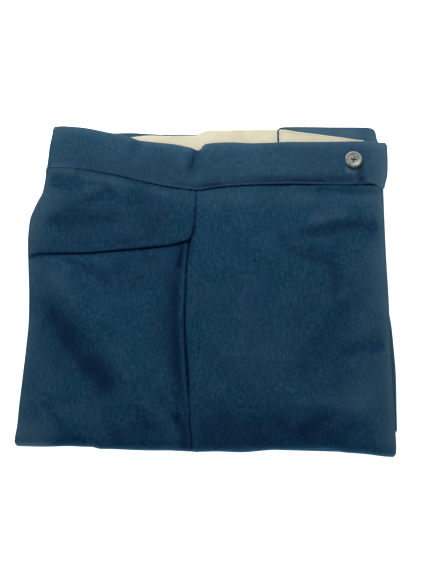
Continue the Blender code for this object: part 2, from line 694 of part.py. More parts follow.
def legs_ring(stage, value):
    """One cross-section of the folded legs, as a closed ring of points."""
    hip_row = {"hip": value, "band": 1, "waist": 1, "end": 1}.get(stage, YOKE_ROWS + PANEL_ROWS)
    spots = [settled(hip_row, column, back_x) for column in LEG_BACK_COLUMNS]
    spots += [settled(hip_row, column, front_x) for column in LEG_FRONT_COLUMNS]
    at_waist = stage in ("waist", "end")
    low_foot = stage == "nose" or stage == "tuck" or (stage == "hip" and value > LAST_OPEN_ROW)
    squash = math.cos(value) if stage in ("nose", "end") else 1.0

    def along(x, y):
        if stage == "nose":
            return inside_fold(x) - (FOLD_REACH - UNDER_PANEL - NOSE_CLEAR) * math.sin(value)
        if stage in ("tuck", "open"):
            return inside_fold(x) + value
        if stage == "band":
            return y + (BAND_STEP - y) * value
        if stage == "waist":
            return value
        return LEGS_END - LEGS_TURN * (1 - math.sin(value)) if stage == "end" else y

    def side_points(side, x, y_row):
        y = along(x, y_row)
        start = fold_line(x) + FOLD_REACH
        edge = left_edge(y) if side < 0 else right_edge(y)
        shoulder = hip_height(edge - side * LIP, max(y, start))
        brow = LEGS_HEIGHT - 1 * MM if at_waist else shoulder - 2 * LIP - SEAM
        foot = UNDER_PANEL if low_foot else 0.0
        wall = layered_side(side, max(y, start), foot, brow, start)
        wall.append((max(LIP_CLEAR, wall[-1][0]), brow + SEAM))
        middle = LEGS_HEIGHT / 2 if at_waist else shoulder / 2
        draw_in = END_DRAW_IN * (1 - squash) if stage == "end" else 0.0
        return [
            Vector((edge - side * (inset + draw_in), y, middle + (z - middle) * squash))
            for inset, z in wall
        ]

    def top_point(x, y_row):
        y = along(x, y_row)
        start = fold_line(x) + FOLD_REACH
        if at_waist:
            return Vector((x, y, LEGS_HEIGHT / 2 * (1 + squash)))
        z = legs_top(x, max(y, start))
        middle = hip_height(x, start) / 2 if stage == "nose" else 0.0
        return Vector((x, y, middle + (z - middle) * squash))

    def foot_point(x, y_row):
        y = along(x, y_row)
        start = fold_line(x) + FOLD_REACH
        middle = LEGS_HEIGHT / 2 if at_waist else hip_height(x, start) / 2
        foot = UNDER_PANEL if low_foot else 0.0
        return Vector((x, y, middle + (foot - middle) * squash))

    margin = 2 if stage in ("waist", "end") else 1
    inner = spots[margin:-margin]
    left, right = side_points(-1, *spots[0]), side_points(1, *spots[-1])
    top = [top_point(*spot) for spot in inner]
    if margin == 2:
        top = [top[0]] + top + [top[-1]]
        top[0] = top[1].lerp(left[-1], 0.5)
        top[-1] = top[-2].lerp(right[-1], 0.5)
    below = [foot_point(*spot) for spot in spots[1:-1]]
    return left + top + right[::-1] + below[::-1]


def cap_faces(shape, ring):
    """Close one end of the legs in strips from top to bottom, since it bends with the fold."""
    across = len(LEG_BACK_COLUMNS) + len(LEG_FRONT_COLUMNS) - 2
    side = len(ring) // 2 - across
    top = ring[side : side + across]
    low = ring[:-across - 1:-1]
    shape.faces.new(ring[:side] + [top[0], low[0]])
    shape.faces.new(ring[side + across : -across] + [low[-1], top[-1]])
    for i in range(across - 1):
        shape.faces.new((top[i], top[i + 1], low[i + 1], low[i]))


def folded_legs():
    """The legs and the left half, folded between: one solid, layered where its sides show."""
    stages = [("nose", math.radians(angle)) for angle in (76, 60, 40, 20)]
    stages += [("hip", YOKE_ROWS + PANEL_ROWS)]
    stages += [("tuck", TUCK + TUCK_CLEAR), ("open", TUCK + OPEN_CLEAR)]
    stages += [("hip", row) for row in range(LAST_OPEN_ROW, 0, -2)] + [("hip", 1)]
    stages += [("band", 0.33), ("band", 0.67), ("band", 1.0)]
    stages += [("waist", BAND_STEP + SEAM), ("waist", LEGS_END - LEGS_TURN)]
    stages += [("end", math.radians(angle)) for angle in (25, 50, 72)]
    shape = bmesh.new()
    rings = [[shape.verts.new(point) for point in legs_ring(*stage)] for stage in stages]
    for ring, following in zip(rings, rings[1:]):
        for i in range(len(ring)):
            j = (i + 1) % len(ring)
            shape.faces.new((ring[i], ring[j], following[j], following[i]))
    cap_faces(shape, rings[0])
    cap_faces(shape, rings[-1])
    bmesh.ops.recalc_face_normals(shape, faces=shape.faces)
    mesh = bpy.data.meshes.new("folded_legs")
    shape.to_mesh(mesh)
    shape.free()
    mesh.set_sharp_from_angle(angle=math.radians(40))
    return new_object("folded_legs", mesh, shaded_wool)


def button():
    """Four-hole horn button with a raised rim and a dished middle."""
    foot = max(
        band_height(BUTTON_X + i * BUTTON_RADIUS, BUTTON_Y + j * BUTTON_RADIUS)
        for i in (-0.7, 0, 0.7)
        for j in (-0.7, 0, 0.7)
    )
    radius, height = BUTTON_RADIUS, BUTTON_HEIGHT
    inner = radius - BUTTON_RIM
    profile = (
        (0.0, height - BUTTON_DISH),
        (inner - 1.2 * MM, height - BUTTON_DISH),
        (inner, height - 0.15 * MM),
        (inner + 0.5 * MM, height),
        (radius - 0.5 * MM, height - 0.2 * MM),
        (radius, height - 0.9 * MM),
        (radius - 0.3 * MM, 0.9 * MM),
        (radius - 2.2 * MM, 0.0),
        (0.0, 0.0),
    )
    mesh = bpy.data.meshes.new("button")
    edges = [(i, i + 1) for i in range(len(profile) - 1)]
    mesh.from_pydata([(x, 0, z) for x, z in profile], edges, [])
    disc = new_object("button", mesh, horn)
    disc.location = (BUTTON_X, BUTTON_Y, foot + SEAM)
    turned = disc.modifiers.new("turned", "SCREW")
    turned.steps = turned.render_steps = 32
    turned.use_merge_vertices = True
    turned.merge_threshold = 0.00001
    for index in range(4):
        angle = HOLE_TURN + index * math.pi / 2
        place = Vector((math.cos(angle), math.sin(angle), 0)) * HOLE_OFFSET
        shape = bmesh.new()
        bmesh.ops.create_cone(
            shape, cap_ends=True, segments=12, radius1=HOLE_RADIUS, radius2=HOLE_RADIUS, depth=10 * MM
        )
        hole_mesh = bpy.data.meshes.new(f"thread_hole_{index + 1}")
        shape.to_mesh(hole_mesh)
        shape.free()
        hole = bpy.data.objects.new(hole_mesh.name, hole_mesh)
        hole.location = disc.location + place
        hole.hide_render = True
        hole.display_type = "WIRE"
        cutters.objects.link(hole)
        cut = disc.modifiers.new(f"hole {index + 1}", "BOOLEAN")
        cut.operation = "DIFFERENCE"
        cut.object = hole
    return disc


def material(name, color, roughness):
    made = bpy.data.materials.new(name)
    made.use_nodes = True
    surface = made.node_tree.nodes["Principled BSDF"]
    surface.inputs["Base Color"].default_value = (*color, 1)
    surface.inputs["Roughness"].default_value = roughness
    return made


for thing in list(bpy.data.objects):
    bpy.data.objects.remove(thing)

trousers = bpy.data.collections.new("military_trousers")
cutters = bpy.data.collections.new("cutters")
bpy.context.scene.collection.children.link(trousers)
bpy.context.scene.collection.children.link(cutters)

wool = material("blue_wool", (0.012, 0.045, 0.088), 0.9)
shaded_wool = material("blue_wool_inner", (0.009, 0.034, 0.068), 0.9)
drill = material("cream_drill", (0.72, 0.66, 0.52), 0.85)
horn = material("grey_horn", (0.24, 0.25, 0.24), 0.4)

folded_legs()
left_waistband()
left_waistband_lining()
back_yoke()
back_panel()
front_panel()
pocket_facing()
tab_lining()
right_waistband()
button()
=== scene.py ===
import math

import bmesh
import bpy
import numpy as np
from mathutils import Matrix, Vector


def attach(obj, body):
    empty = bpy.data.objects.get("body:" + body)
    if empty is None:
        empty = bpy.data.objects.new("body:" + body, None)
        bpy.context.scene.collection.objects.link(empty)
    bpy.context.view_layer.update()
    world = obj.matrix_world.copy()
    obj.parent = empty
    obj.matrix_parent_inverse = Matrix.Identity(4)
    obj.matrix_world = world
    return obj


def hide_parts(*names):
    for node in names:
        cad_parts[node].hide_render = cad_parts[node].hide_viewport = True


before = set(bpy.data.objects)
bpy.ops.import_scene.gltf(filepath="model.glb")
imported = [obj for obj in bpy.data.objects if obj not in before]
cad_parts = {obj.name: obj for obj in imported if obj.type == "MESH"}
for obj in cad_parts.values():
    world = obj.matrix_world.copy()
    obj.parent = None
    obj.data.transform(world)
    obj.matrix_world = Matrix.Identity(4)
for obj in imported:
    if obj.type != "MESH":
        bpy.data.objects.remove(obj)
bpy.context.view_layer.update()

# The table, the light and the camera
#
# The trousers lie on a plain white table under soft studio light that comes mostly from beyond
# their waist. The camera stands on the side of the bottom fold, 15 degrees off straight down.
MM = 0.001
CAMERA_DISTANCE = 1300 * MM
CAMERA_TILT = math.radians(15)
LENS = 77.15
AIM = Vector((10.736, -4.313, 28.0)) * MM
# The table lies this far below the cloth's underside, so that the two don't share a plane
TABLE_DROP = 0.2 * MM

bpy.context.scene.view_settings.view_transform = "Standard"


def put(name, data):
    """A new object of some data, in the scene."""
    made = bpy.data.objects.new(name, data)
    bpy.context.scene.collection.objects.link(made)
    return made


camera_data = bpy.data.cameras.new("camera")
camera_data.sensor_fit = "VERTICAL"
camera_data.sensor_height = 36.0
camera_data.lens = LENS
camera_data.clip_start = 0.05
camera = put("camera", camera_data)
camera.location = AIM + Vector((0, -math.sin(CAMERA_TILT), math.cos(CAMERA_TILT))) * CAMERA_DISTANCE
camera.rotation_euler = (CAMERA_TILT, 0, 0)
bpy.context.scene.camera = camera


def soft_box(name, place, size, power, color):
    """A square softbox, turned towards the trousers."""
    data = bpy.data.lights.new(name, "AREA")
    data.color = color
    data.size = size
    data.energy = power
    box = put(name, data)
    box.location = place
    box.rotation_euler = (-Vector(place)).to_track_quat("-Z", "Y").to_euler()


soft_box(
    "light beyond the waist",
    place=(-0.03, 0.66, 0.50),
    size=0.5,
    power=10.6,
    color=(1.0, 0.97, 0.93),
)
soft_box(
    "fill over the bottom fold",
    place=(0.10, -1.0, 0.85),
    size=1.0,
    power=7.0,
    color=(0.80, 0.95, 1.06),
)

world = bpy.data.worlds.new("studio")
world.use_nodes = True
sky = world.node_tree.nodes["Background"].inputs
sky["Color"].default_value = (0.55, 0.86, 1.12, 1)
sky["Strength"].default_value = 0.14
bpy.context.scene.world = world

table_top = bpy.data.meshes.new("table")
table_top.from_pydata([(-6, -6, 0), (6, -6, 0), (6, 6, 0), (-6, 6, 0)], [], [(0, 1, 2, 3)])
table = put("table", table_top)
table.location.z = -TABLE_DROP
table_paint = bpy.data.materials.new("white table")
table_paint.use_nodes = True
white = table_paint.node_tree.nodes["Principled BSDF"]
white.inputs["Base Color"].default_value = (0.92, 0.92, 0.92, 1)
white.inputs["Roughness"].default_value = 0.9
white.inputs["Emission Color"].default_value = (1, 1, 1, 1)
white.inputs["Emission Strength"].default_value = 1.0
table_top.materials.append(table_paint)

# The folded legs
#
# Both legs of blue milled wool, and the left half of the hips, lie folded in thirds under the
# right half. Each leg is a flattened tube, so its folded edge shows as one soft roll at the side.
CLOTH = 1.8 * MM
SEAM = 0.3 * MM  # between pieces
CLOSE = 0.1 * MM  # between cloths at a pressed seam
EDGE_HEIGHT = 28.0 * MM  # top of the right half's side edges
FOLD_REACH = 16.0 * MM  # from the start of the bottom fold to its foremost line
LIP = 3.0 * MM  # radius of a panel's rolled side edge
TUCK = 15.0 * MM  # length of panel that lies under the bundle
LEGS_HEIGHT = 19.8 * MM  # folded legs alone, under the waistbands
LEGS_END, LEGS_TURN = 162.0 * MM, 11.0 * MM  # their waist end, and the reach of its round

# y, left edge, right edge of the right half's outline, in millimetres
OUTLINE = (
    (131, -174.0, 191.0), (104, -176.7, 190.6), (94, -181.4, 190.6), (84, -185.5, 190.6),
    (72, -189.3, 190.7), (50, -190.4, 190.8), (20, -188.7, 191.2), (-10, -186.8, 192.0),
    (-40, -186.3, 192.2), (-70, -187.9, 192.2), (-100, -190.2, 192.4), (-125, -192.3, 193.2),
    (-150, -194.0, 194.0), (-170, -196.4, 194.6),
)
# x, foremost y of the bottom fold
BOTTOM_FOLD = (
    (-196, -168.4), (-118, -168.6), (-108, -171.2), (-68, -172.2), (-16, -173.7), (35, -174.2),
    (76, -172.2), (117, -172.2), (148, -175.0), (194, -179.0),
)


def curve_through(rows, at, value):
    """A smooth curve through two columns of a table, level past its ends, in metres."""
    knots = np.array(sorted((row[at], row[value]) for row in rows)) * MM
    xs, ys = knots[:, 0], knots[:, 1]
    rise = np.diff(ys) / np.diff(xs)
    slope = np.zeros(len(xs))
    slope[1:-1] = np.where(rise[:-1] * rise[1:] <= 0, 0.0, (rise[:-1] + rise[1:]) / 2)
    limit = 2 * np.minimum(np.abs(rise[:-1]), np.abs(rise[1:]))
    slope[1:-1] = np.clip(slope[1:-1], -limit, limit)

    def curve(x):
        x = np.clip(x, xs[0], xs[-1])
        i = np.clip(np.searchsorted(xs, x) - 1, 0, len(xs) - 2)
        width = xs[i + 1] - xs[i]
        t = (x - xs[i]) / width
        return (
            (2 * t**3 - 3 * t**2 + 1) * ys[i]
            + (t**3 - 2 * t**2 + t) * width * slope[i]
            + (3 * t**2 - 2 * t**3) * ys[i + 1]
            + (t**3 - t**2) * width * slope[i + 1]
        )

    return curve


left_edge = curve_through(OUTLINE, 0, 1)
right_edge = curve_through(OUTLINE, 0, 2)
fold_line = curve_through(BOTTOM_FOLD, 0, 1)


def ease(t):
    """0 at or below 0 and 1 at or above 1, with a smooth rise in between."""
    t = np.clip(t, 0.0, 1.0)
    return t * t * (3 - 2 * t)


# How far the middle stands above the side edges, and how much flatter it gets towards the waist
CROWN, CROWN_ROUND = 6.0 * MM, 2.6
WAIST_DROP, WAIST_DROP_START, WAIST_DROP_LENGTH = 2.5 * MM, 20 * MM, 100 * MM
# How wide and deep the cloth falls away beside the edges, and towards the bottom fold
SHOULDER, SHOULDER_DROP = 20.0 * MM, 2.0 * MM
LOW_END, LOW_END_LENGTH, LOW_END_DROP = -112.0 * MM, 60 * MM, 2.2 * MM


def plain_height(x, y):
    """Height of the right half's outer face without its creases."""
    left, right = left_edge(y), right_edge(y)
    across = np.abs((2 * x - left - right) / (right - left))
    crown = CROWN - WAIST_DROP * ease((y - WAIST_DROP_START) / WAIST_DROP_LENGTH)
    from_edge = np.minimum(x - left, right - x)
    shoulder = SHOULDER_DROP * np.clip(1 - from_edge / SHOULDER, 0, 1) ** 2
    low_end = LOW_END_DROP * ease((LOW_END - y) / LOW_END_LENGTH)
    return EDGE_HEIGHT + crown * (1 - np.minimum(across, 1.0) ** CROWN_ROUND) - shoulder - low_end


# From the table up: how far each leg's folded edge lies inside the outline, in millimetres,
# left and right near the bottom fold, then left and right near the waist
LEGS = ((3.6, 3.0, 6.0, 4.5), (5.4, 4.2, 8.0, 6.0), (6.4, 2.2, 9.0, 7.0), (4.2, 1.2, 5.0, 4.0))
LEGS_LOW, LEGS_SPAN = -140 * MM, 280 * MM  # those near the fold apply up to here, and this far on
WANDER = 0.45 * MM  # how unevenly each edge runs
GROOVE, ROLL_DEPTH, ROLL_ARC = 4.2 * MM, 2.6 * MM, 1.35  # between the edges, and their round
# The layer next under the panels shows at the right between these, by up to the reach
PEEK_START, PEEK_END, PEEK_REACH = -22.0 * MM, -172.0 * MM, 6.2 * MM
# The legs stay this far inside the outline beside a rolled edge, and draw in to it over a length
LIP_CLEAR, LIP_BLEND = LIP + 1.6 * MM, 8 * MM
BAND_STEP = 127.7 * MM  # here the left half ends and its waistband begins
UNDER_PANEL = 2.8 * MM  # from the panels' outer face to the legs under them
NOSE_REACH = 12.4 * MM  # of the legs inside the bottom fold
END_DRAW_IN = 8 * MM  # their waist end is narrower by this much on each side
COVER = 8 * MM  # from the hip's outer face to the top of the legs under it


def leg_inset(index, side, y, start):
    """How far a leg's folded edge lies inside the outline at y. side is -1 (left) or 1 (right)."""
    low, high = (LEGS[index][0], LEGS[index][2]) if side < 0 else (LEGS[index][1], LEGS[index][3])
    inset = (low + (high - low) * float(ease((y - LEGS_LOW) / LEGS_SPAN))) * MM
    inset += WANDER * (math.sin(y * 43 + index * 2.1 + side) + 0.6 * math.sin(y * 97 + index * 4.7))
    if side > 0 and index == 3:
        share = min(max((y - PEEK_START) / (PEEK_END - PEEK_START), 0.0), 1.0)
        inset -= PEEK_REACH * math.sqrt(math.sin(math.pi * share))
    in_lip = start + (TUCK + 3 * MM if index < 2 else 1 * MM)
    blend = float(ease((in_lip + LIP_BLEND - y) / LIP_BLEND))
    return inset + (max(inset, LIP_CLEAR) - inset) * blend


def section_y(stage, value, start):
    """y of a section of the legs where the bottom fold starts at start.

    The value is an angle round the nose in the bottom fold or round the end at the waist, a length
    behind the nose in the tuck, and y itself in a row.
    """
    places = {
        "nose": start - NOSE_REACH * math.sin(value),
        "tuck": start + value,
        "row": value,
        "end": LEGS_END - LEGS_TURN * (1 - math.sin(value)),
    }
    return places[stage]


def legs_section(stage, value):
    """One cross-section through the folded legs, as a ring of points: its left half, then its right."""
    squash = math.cos(value) if stage in ("nose", "end") else 1.0
    ring = []
    for side in (-1, 1):
        start = float(fold_line(side * 185 * MM)) + FOLD_REACH
        y = section_y(stage, value, start)
        edge = float(left_edge(y) if side < 0 else right_edge(y))
        low = stage in ("nose", "tuck") and value < TUCK + 0.9 * MM
        at_waist = y > BAND_STEP
        shoulder = float(plain_height(edge - side * LIP, max(y, start)))
        foot = UNDER_PANEL if low else 0.0
        brow = LEGS_HEIGHT if at_waist else shoulder - 2 * LIP - SEAM
        pitch = (brow - foot) / 4
        middle = LEGS_HEIGHT / 2 if at_waist else shoulder / 2
        draw_in = END_DRAW_IN * (1 - squash) if stage == "end" else 0.0
        insets = [leg_inset(index, side, max(y, start), start) for index in range(4)]
        wall = [(insets[0] + 9 * MM, foot), (insets[0] + ROLL_DEPTH + 1.5 * MM, foot)]
        for index, inset in enumerate(insets):
            for turn in np.linspace(-ROLL_ARC, ROLL_ARC, 9):
                height = foot + pitch * (index + 0.5 + 0.5 * math.sin(turn))
                wall.append((inset + ROLL_DEPTH * (1 - math.cos(turn)), height))
            above = insets[min(index + 1, 3)]
            if index < 3:
                wall.append((max(inset, above) + GROOVE, foot + pitch * (index + 1)))
        wall.append((max(LIP_CLEAR, insets[3] + 5 * MM), brow))
        points = [
            (edge - side * (inset + draw_in), y, middle + (z - middle) * squash) for inset, z in wall
        ]
        # The top and the underside, from beside the folded edges to the middle
        top, below = [], []
        for share in (0.12, 0.3, 0.5, 0.72, 0.9):
            x = (edge - side * 12 * MM) * (1 - share) if share < 0.9 else side * 6 * MM
            x_start = float(fold_line(x)) + FOLD_REACH
            x_y = section_y(stage, value, x_start)
            cover = float(plain_height(x, max(x_y, x_start))) - COVER
            half = float(plain_height(x, x_start)) / 2
            z = LEGS_HEIGHT if at_waist else cover
            x_middle = LEGS_HEIGHT / 2 if at_waist else half
            top.append((x, x_y, x_middle + (z - x_middle) * squash))
            below.append((x, x_y, x_middle + (foot - x_middle) * squash))
        half_ring = below[::-1] + points + top
        ring += half_ring if side < 0 else half_ring[::-1]
    return ring


sections = [("nose", math.radians(angle)) for angle in (78, 66, 54, 42, 30, 15, 0)]
sections += [("tuck", TUCK * share) for share in (0.33, 0.67, 1.0)]
sections += [("tuck", TUCK + 0.8 * MM), ("tuck", TUCK + 1.2 * MM)]
sections += [("row", y) for y in np.linspace(-143 * MM, BAND_STEP, 58)]
sections += [("row", y) for y in np.linspace(BAND_STEP + SEAM, LEGS_END - LEGS_TURN, 8)]
sections += [("end", math.radians(angle)) for angle in (12, 24, 36, 48, 60, 72, 80)]


def loft(name, rings):
    """A closed body through rings of points, with flat ends."""
    count = len(rings[0])
    faces = [
        (low + i, low + (i + 1) % count, low + count + (i + 1) % count, low + count + i)
        for low in range(0, (len(rings) - 1) * count, count)
        for i in range(count)
    ]
    mesh = bpy.data.meshes.new(name)
    mesh.from_pydata([point for ring in rings for point in ring], [], faces)
    shape = bmesh.new()
    shape.from_mesh(mesh)
    shape.verts.ensure_lookup_table()
    half = count // 2
    for ring_start in (0, (len(rings) - 1) * count):
        for i in range(half - 1):
            around = (i, i + 1, count - 2 - i, count - 1 - i)
            shape.faces.new([shape.verts[ring_start + j] for j in around])
    bmesh.ops.recalc_face_normals(shape, faces=shape.faces)
    shape.to_mesh(mesh)
    shape.free()
    mesh.shade_smooth()
    return put(name, mesh)


class Value:
    """A socket of a shader, with arithmetic."""

    def __init__(self, graph, socket):
        self.graph, self.socket = graph, socket

    def _with(self, operation, other, flip=False):
        pair = (other, self) if flip else (self, other)
        return self.graph.node("ShaderNodeMath", {"operation": operation}, {0: pair[0], 1: pair[1]})

    def __add__(self, other):
        return self._with("ADD", other)

    def __sub__(self, other):
        return self._with("SUBTRACT", other)

    def __mul__(self, other):
        return self._with("MULTIPLY", other)

    def __rsub__(self, other):
        return self._with("SUBTRACT", other, True)

    __radd__, __rmul__ = __add__, __mul__


class Finish:
    """A material on a Principled surface, whose fixed numbers sit on the surface's own sockets."""

    def __init__(self, name, **fixed):
        self.material = bpy.data.materials.new(name)
        self.material.use_nodes = True
        self.tree = self.material.node_tree
        self.surface = self.tree.nodes["Principled BSDF"]
        for socket, number in fixed.items():
            self.surface.inputs[socket.replace("_", " ")].default_value = number

    def node(self, kind, settings=None, inputs=None, output=0):
        """Any node: its settings first, then its sockets' values or links."""
        made = self.tree.nodes.new(kind)
        for key, setting in (settings or {}).items():
            setattr(made, key, setting)
        for socket, value in (inputs or {}).items():
            if isinstance(value, Value):
                self.tree.links.new(value.socket, made.inputs[socket])
            else:
                made.inputs[socket].default_value = value
        return Value(self, made.outputs[output])

    def noise(self, where, scale, detail=2.0, roughness=0.5):
        inputs = {"Vector": where, "Scale": scale, "Detail": detail, "Roughness": roughness}
        return self.node("ShaderNodeTexNoise", None, inputs)

    def stretched(self, where, scale):
        """The same places, with each axis scaled, so that a texture on them is stretched."""
        return self.node("ShaderNodeMapping", None, {"Vector": where, "Scale": scale})

    def blend(self, factor, low, high):
        """The color low where the factor is 0, and high where it is 1."""
        low, high = (color if isinstance(color, Value) else (*color, 1) for color in (low, high))
        return self.node("ShaderNodeMix", {"data_type": "RGBA"}, {0: factor, 6: low, 7: high}, 2)

    def levels(self, value, low, high):
        """0 where the value is low or less, rising to 1 where it is high or more."""
        inputs = {"Value": value, "From Min": low, "From Max": high}
        return self.node("ShaderNodeMapRange", None, inputs)

    def paint(self, **sockets):
        """Links what varies to the surface, and gives the finished material."""
        for socket, value in sockets.items():
            self.tree.links.new(value.socket, self.surface.inputs[socket.replace("_", " ")])
        return self.material

    def bump(self, height, strength, distance):
        inputs = {"Height": height, "Strength": strength, "Distance": distance}
        return self.node("ShaderNodeBump", None, inputs)


# Where a texture lies: on the cloth's own map, or on the object's place in space
ON_CLOTH = ("ShaderNodeUVMap", {"uv_map": "cloth"})
IN_SPACE = ("ShaderNodeTexCoord", None, None, 3)

WOOL_BLUE = (0.0062, 0.0360, 0.0700)
WOOL_DEEP = (0.0014, 0.0222, 0.0490)
WOOL_PALE = (0.0200, 0.0550, 0.0970)
# the pale grey-blue of painted sheen and painted highlights
WOOL_PAINTED_SHEEN = (0.0730, 0.1300, 0.1700)
WOOL_VIOLET = (0.0110, 0.0300, 0.0740)
# the deep navy of painted shade
WOOL_PAINTED_SHADE = (0.0006, 0.0024, 0.0200)
FLECK = (0.10, 0.20, 0.27)


def wool(name, where, painted_shading=1.0, painted_highlight=0.0):
    """Milled wool, whose brushed nap runs along the leg and hides the weave.

    where says where its textures lie, painted_shading scales its colours as painted light or
    shade, and painted_highlight blends in a painted sheen all over. The cloth's attribute "nap"
    holds painted light and shade: it is 1 for plain cloth, falls towards 0 for painted shade in
    creases, hollows and along seams, and rises towards 2 for painted highlights.
    """
    finish = Finish(
        name,
        Roughness=0.92,
        Specular_IOR_Level=0.04,
        Sheen_Weight=0.30,
        Sheen_Roughness=0.34,
        Sheen_Tint=(0.08, 0.60, 0.85, 1),
    )
    place = finish.node(*where)
    nap = finish.noise(finish.stretched(place, (1.0, 0.35, 1.0)), 620, 3.0, 0.62)
    streaks = finish.noise(finish.stretched(place, (1.0, 0.1, 1.0)), 760, 2.0, 0.6)
    mottle = finish.noise(place, 240, 3.0, 0.6)
    cloudy = finish.noise(place, 34, 3.0, 0.6)
    fibres = finish.noise(finish.stretched(place, (1.0, 0.45, 1.0)), 1900, 2.0, 0.7)
    tone = nap * 0.38 + streaks * 0.30 + mottle * 0.30 + cloudy * 0.22 - 0.065
    deep, blue, pale, violet = (
        [c * painted_shading for c in color] for color in (WOOL_DEEP, WOOL_BLUE, WOOL_PALE, WOOL_VIOLET)
    )
    color = finish.blend(finish.levels(tone, 0.40, 0.56), deep, blue)
    color = finish.blend(finish.levels(tone, 0.53, 0.70), color, pale)
    drift = finish.levels(finish.noise(place, 27, 3.0), 0.44, 0.64) * 0.28
    color = finish.blend(drift, color, violet)
    color = finish.blend(finish.levels(fibres, 0.70, 0.80) * 0.30, color, FLECK)
    # painted sheen, blended in evenly all over the piece
    color = finish.blend(painted_highlight, color, WOOL_PAINTED_SHEEN)
    if where == ON_CLOTH:
        # The attribute "nap" holds painted light and shade: above 1 it blends in the painted sheen,
        # below 1 the painted shade
        painted_level = finish.node("ShaderNodeAttribute", {"attribute_name": "nap"}, None, 2)
        color = finish.blend(finish.levels(painted_level, 1.0, 2.0), color, WOOL_PAINTED_SHEEN)
        color = finish.blend(painted_level, WOOL_PAINTED_SHADE, color)
    rise = nap * 0.7 + fibres * 0.3 + mottle * 0.5
    return finish.paint(Base_Color=color, Normal=finish.bump(rise, 0.5, 0.0005))


legs = loft("folded_legs_wool", [legs_section(*section) for section in sections])
# painted light: the legs' wool is paled all over, seen mostly at their shaded edges
legs.data.materials.append(wool("legs wool", IN_SPACE, painted_highlight=0.42))
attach(legs, "root")
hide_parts("folded_legs")

# The left waistband and its lining
#
# The left half's waistband lies behind the right one with its inner face up. It is wool faced
# with cream cotton drill, whose upper edge stops short of the wool's on the left.
LINING = 0.9 * MM
LEFT_BAND_FOOT = LEGS_HEIGHT + SEAM
LEFT_LINING_FOOT = LEFT_BAND_FOOT + CLOTH + SEAM
LEFT_BAND_LEFT, LEFT_BAND_RIGHT, LEFT_BAND_LOW = -164 * MM, 178 * MM, 128.0 * MM
LEFT_LINING_LOW = LEFT_BAND_LOW + 2 * MM
CUT_EDGE = 0.6 * MM  # how far a cut edge's softness reaches
# painted light over the whole left waistband wool, where the right band shades it
LEFT_BAND_PAINTED_LIGHT = 1.3

# x, top edge of the wool, top edge of the lining
LEFT_BAND = (
    (-164, 172.0, 166.0), (-130, 172.4, 166.4), (-100, 173.2, 166.6), (-84, 173.6, 167.8),
    (-62, 172.3, 170.0), (-36, 171.4, 169.4), (-13, 171.2, 169.6), (-6, 173.4, 173.4),
    (2, 175.6, 175.8), (18, 176.1, 176.3), (36, 176.5, 176.7), (77, 176.6, 176.8),
    (130, 176.4, 176.0), (178, 174.4, 174.0),
)
left_band_top = curve_through(LEFT_BAND, 0, 1)
left_lining_top = curve_through(LEFT_BAND, 0, 2)

# A cloth's rows and columns lie this far from an edge that needs close ones
NEAR_EDGE = np.array((0.0, 0.4, 0.9, 1.6, 2.6, 4.0)) * MM


class Spacing:
    """Places between two edges: close together beside them and even in between."""

    def __init__(self, count, near_start=True, near_end=True):
        first = NEAR_EDGE if near_start else NEAR_EDGE[:1]
        last = NEAR_EDGE[::-1] if near_end else NEAR_EDGE[:1]
        middle = np.linspace(0, 1, count + 2)[1:-1]
        reach = (1 - middle) * first[-1] - middle * last[0]
        self.share = np.concatenate((np.zeros(len(first)), middle, np.ones(len(last))))
        self.offset = np.concatenate((first, reach, -last))
        self.from_start = np.concatenate((first, np.ones(count + len(last))))
        self.from_end = np.concatenate((np.ones(len(first) + count), last))
        if not near_start:
            self.from_start[:] = 1.0
        if not near_end:
            self.from_end[:] = 1.0

    def between(self, start, end):
        toward = np.sign(end - start)
        return start + (end - start) * self.share + toward * self.offset


def woven(rows, columns, top, bottom, start, end):
    """x and y of a grid of cloth, whose rows run from top to bottom and columns start to end."""
    y = np.zeros((len(rows.share), len(columns.share)))
    x = np.zeros_like(y)
    for _ in range(5):
        x = columns.between(start(y), end(y))
        high, low = top(x), bottom(x)
        y = high + (low - high) * rows.share[:, None] - rows.offset[:, None]
    return x, y


def cloth_piece(name, points, wall, material, shaded_rim=None, nap=None):
    """A cloth piece from a grid of points on its outer face: rows run down, columns right.

    Its map "cloth" measures along the cloth, from each row's first x and each column's first y.
    """
    rows, columns = points.shape[:2]
    index = np.arange(rows * columns).reshape(rows, columns)
    corners = index[1:, :-1], index[1:, 1:], index[:-1, 1:], index[:-1, :-1]
    faces = np.stack([corner.ravel() for corner in corners], axis=1)
    mesh = bpy.data.meshes.new(name)
    mesh.from_pydata(points.reshape(-1, 3).tolist(), [], faces.tolist())
    step_across = np.linalg.norm(np.diff(points, axis=1), axis=2)
    step_down = np.linalg.norm(np.diff(points, axis=0), axis=2)
    u = points[:, :1, 0] + np.pad(np.cumsum(step_across, axis=1), ((0, 0), (1, 0)))
    v = points[:1, :, 1] - np.pad(np.cumsum(step_down, axis=0), ((1, 0), (0, 0)))
    flat = np.stack((u, v), axis=2).reshape(-1, 2)
    layer = mesh.uv_layers.new(name="cloth")
    layer.data.foreach_set("uv", flat[faces.ravel()].ravel())
    # The attribute "nap" carries painted light and shade: 1 is plain, less is painted shade, more is
    # painted highlight
    painted_level = np.ones((rows, columns)) if nap is None else np.clip(nap, 0.0, 2.0)
    mesh.attributes.new("nap", "FLOAT", "POINT").data.foreach_set("value", painted_level.ravel())
    mesh.shade_smooth()
    mesh.materials.append(material)
    piece = put(name, mesh)
    thick = piece.modifiers.new("wall", "SOLIDIFY")
    thick.thickness = wall
    thick.offset = -1
    thick.edge_crease_outer = thick.edge_crease_rim = 1.0
    if shaded_rim:
        mesh.materials.append(shaded_rim)
        thick.material_offset_rim = 1
    soft = piece.modifiers.new("soft edges", "SUBSURF")
    soft.levels = soft.render_levels = 1
    return piece


def rounded(distance, reach):
    """How far a pressed edge falls away at a distance from it."""
    return 0.5 * reach * np.clip(1 - distance / reach, 0, 1) ** 2


def level(value):
    """A function that gives one value all along an edge."""
    return lambda along: along * 0 + value


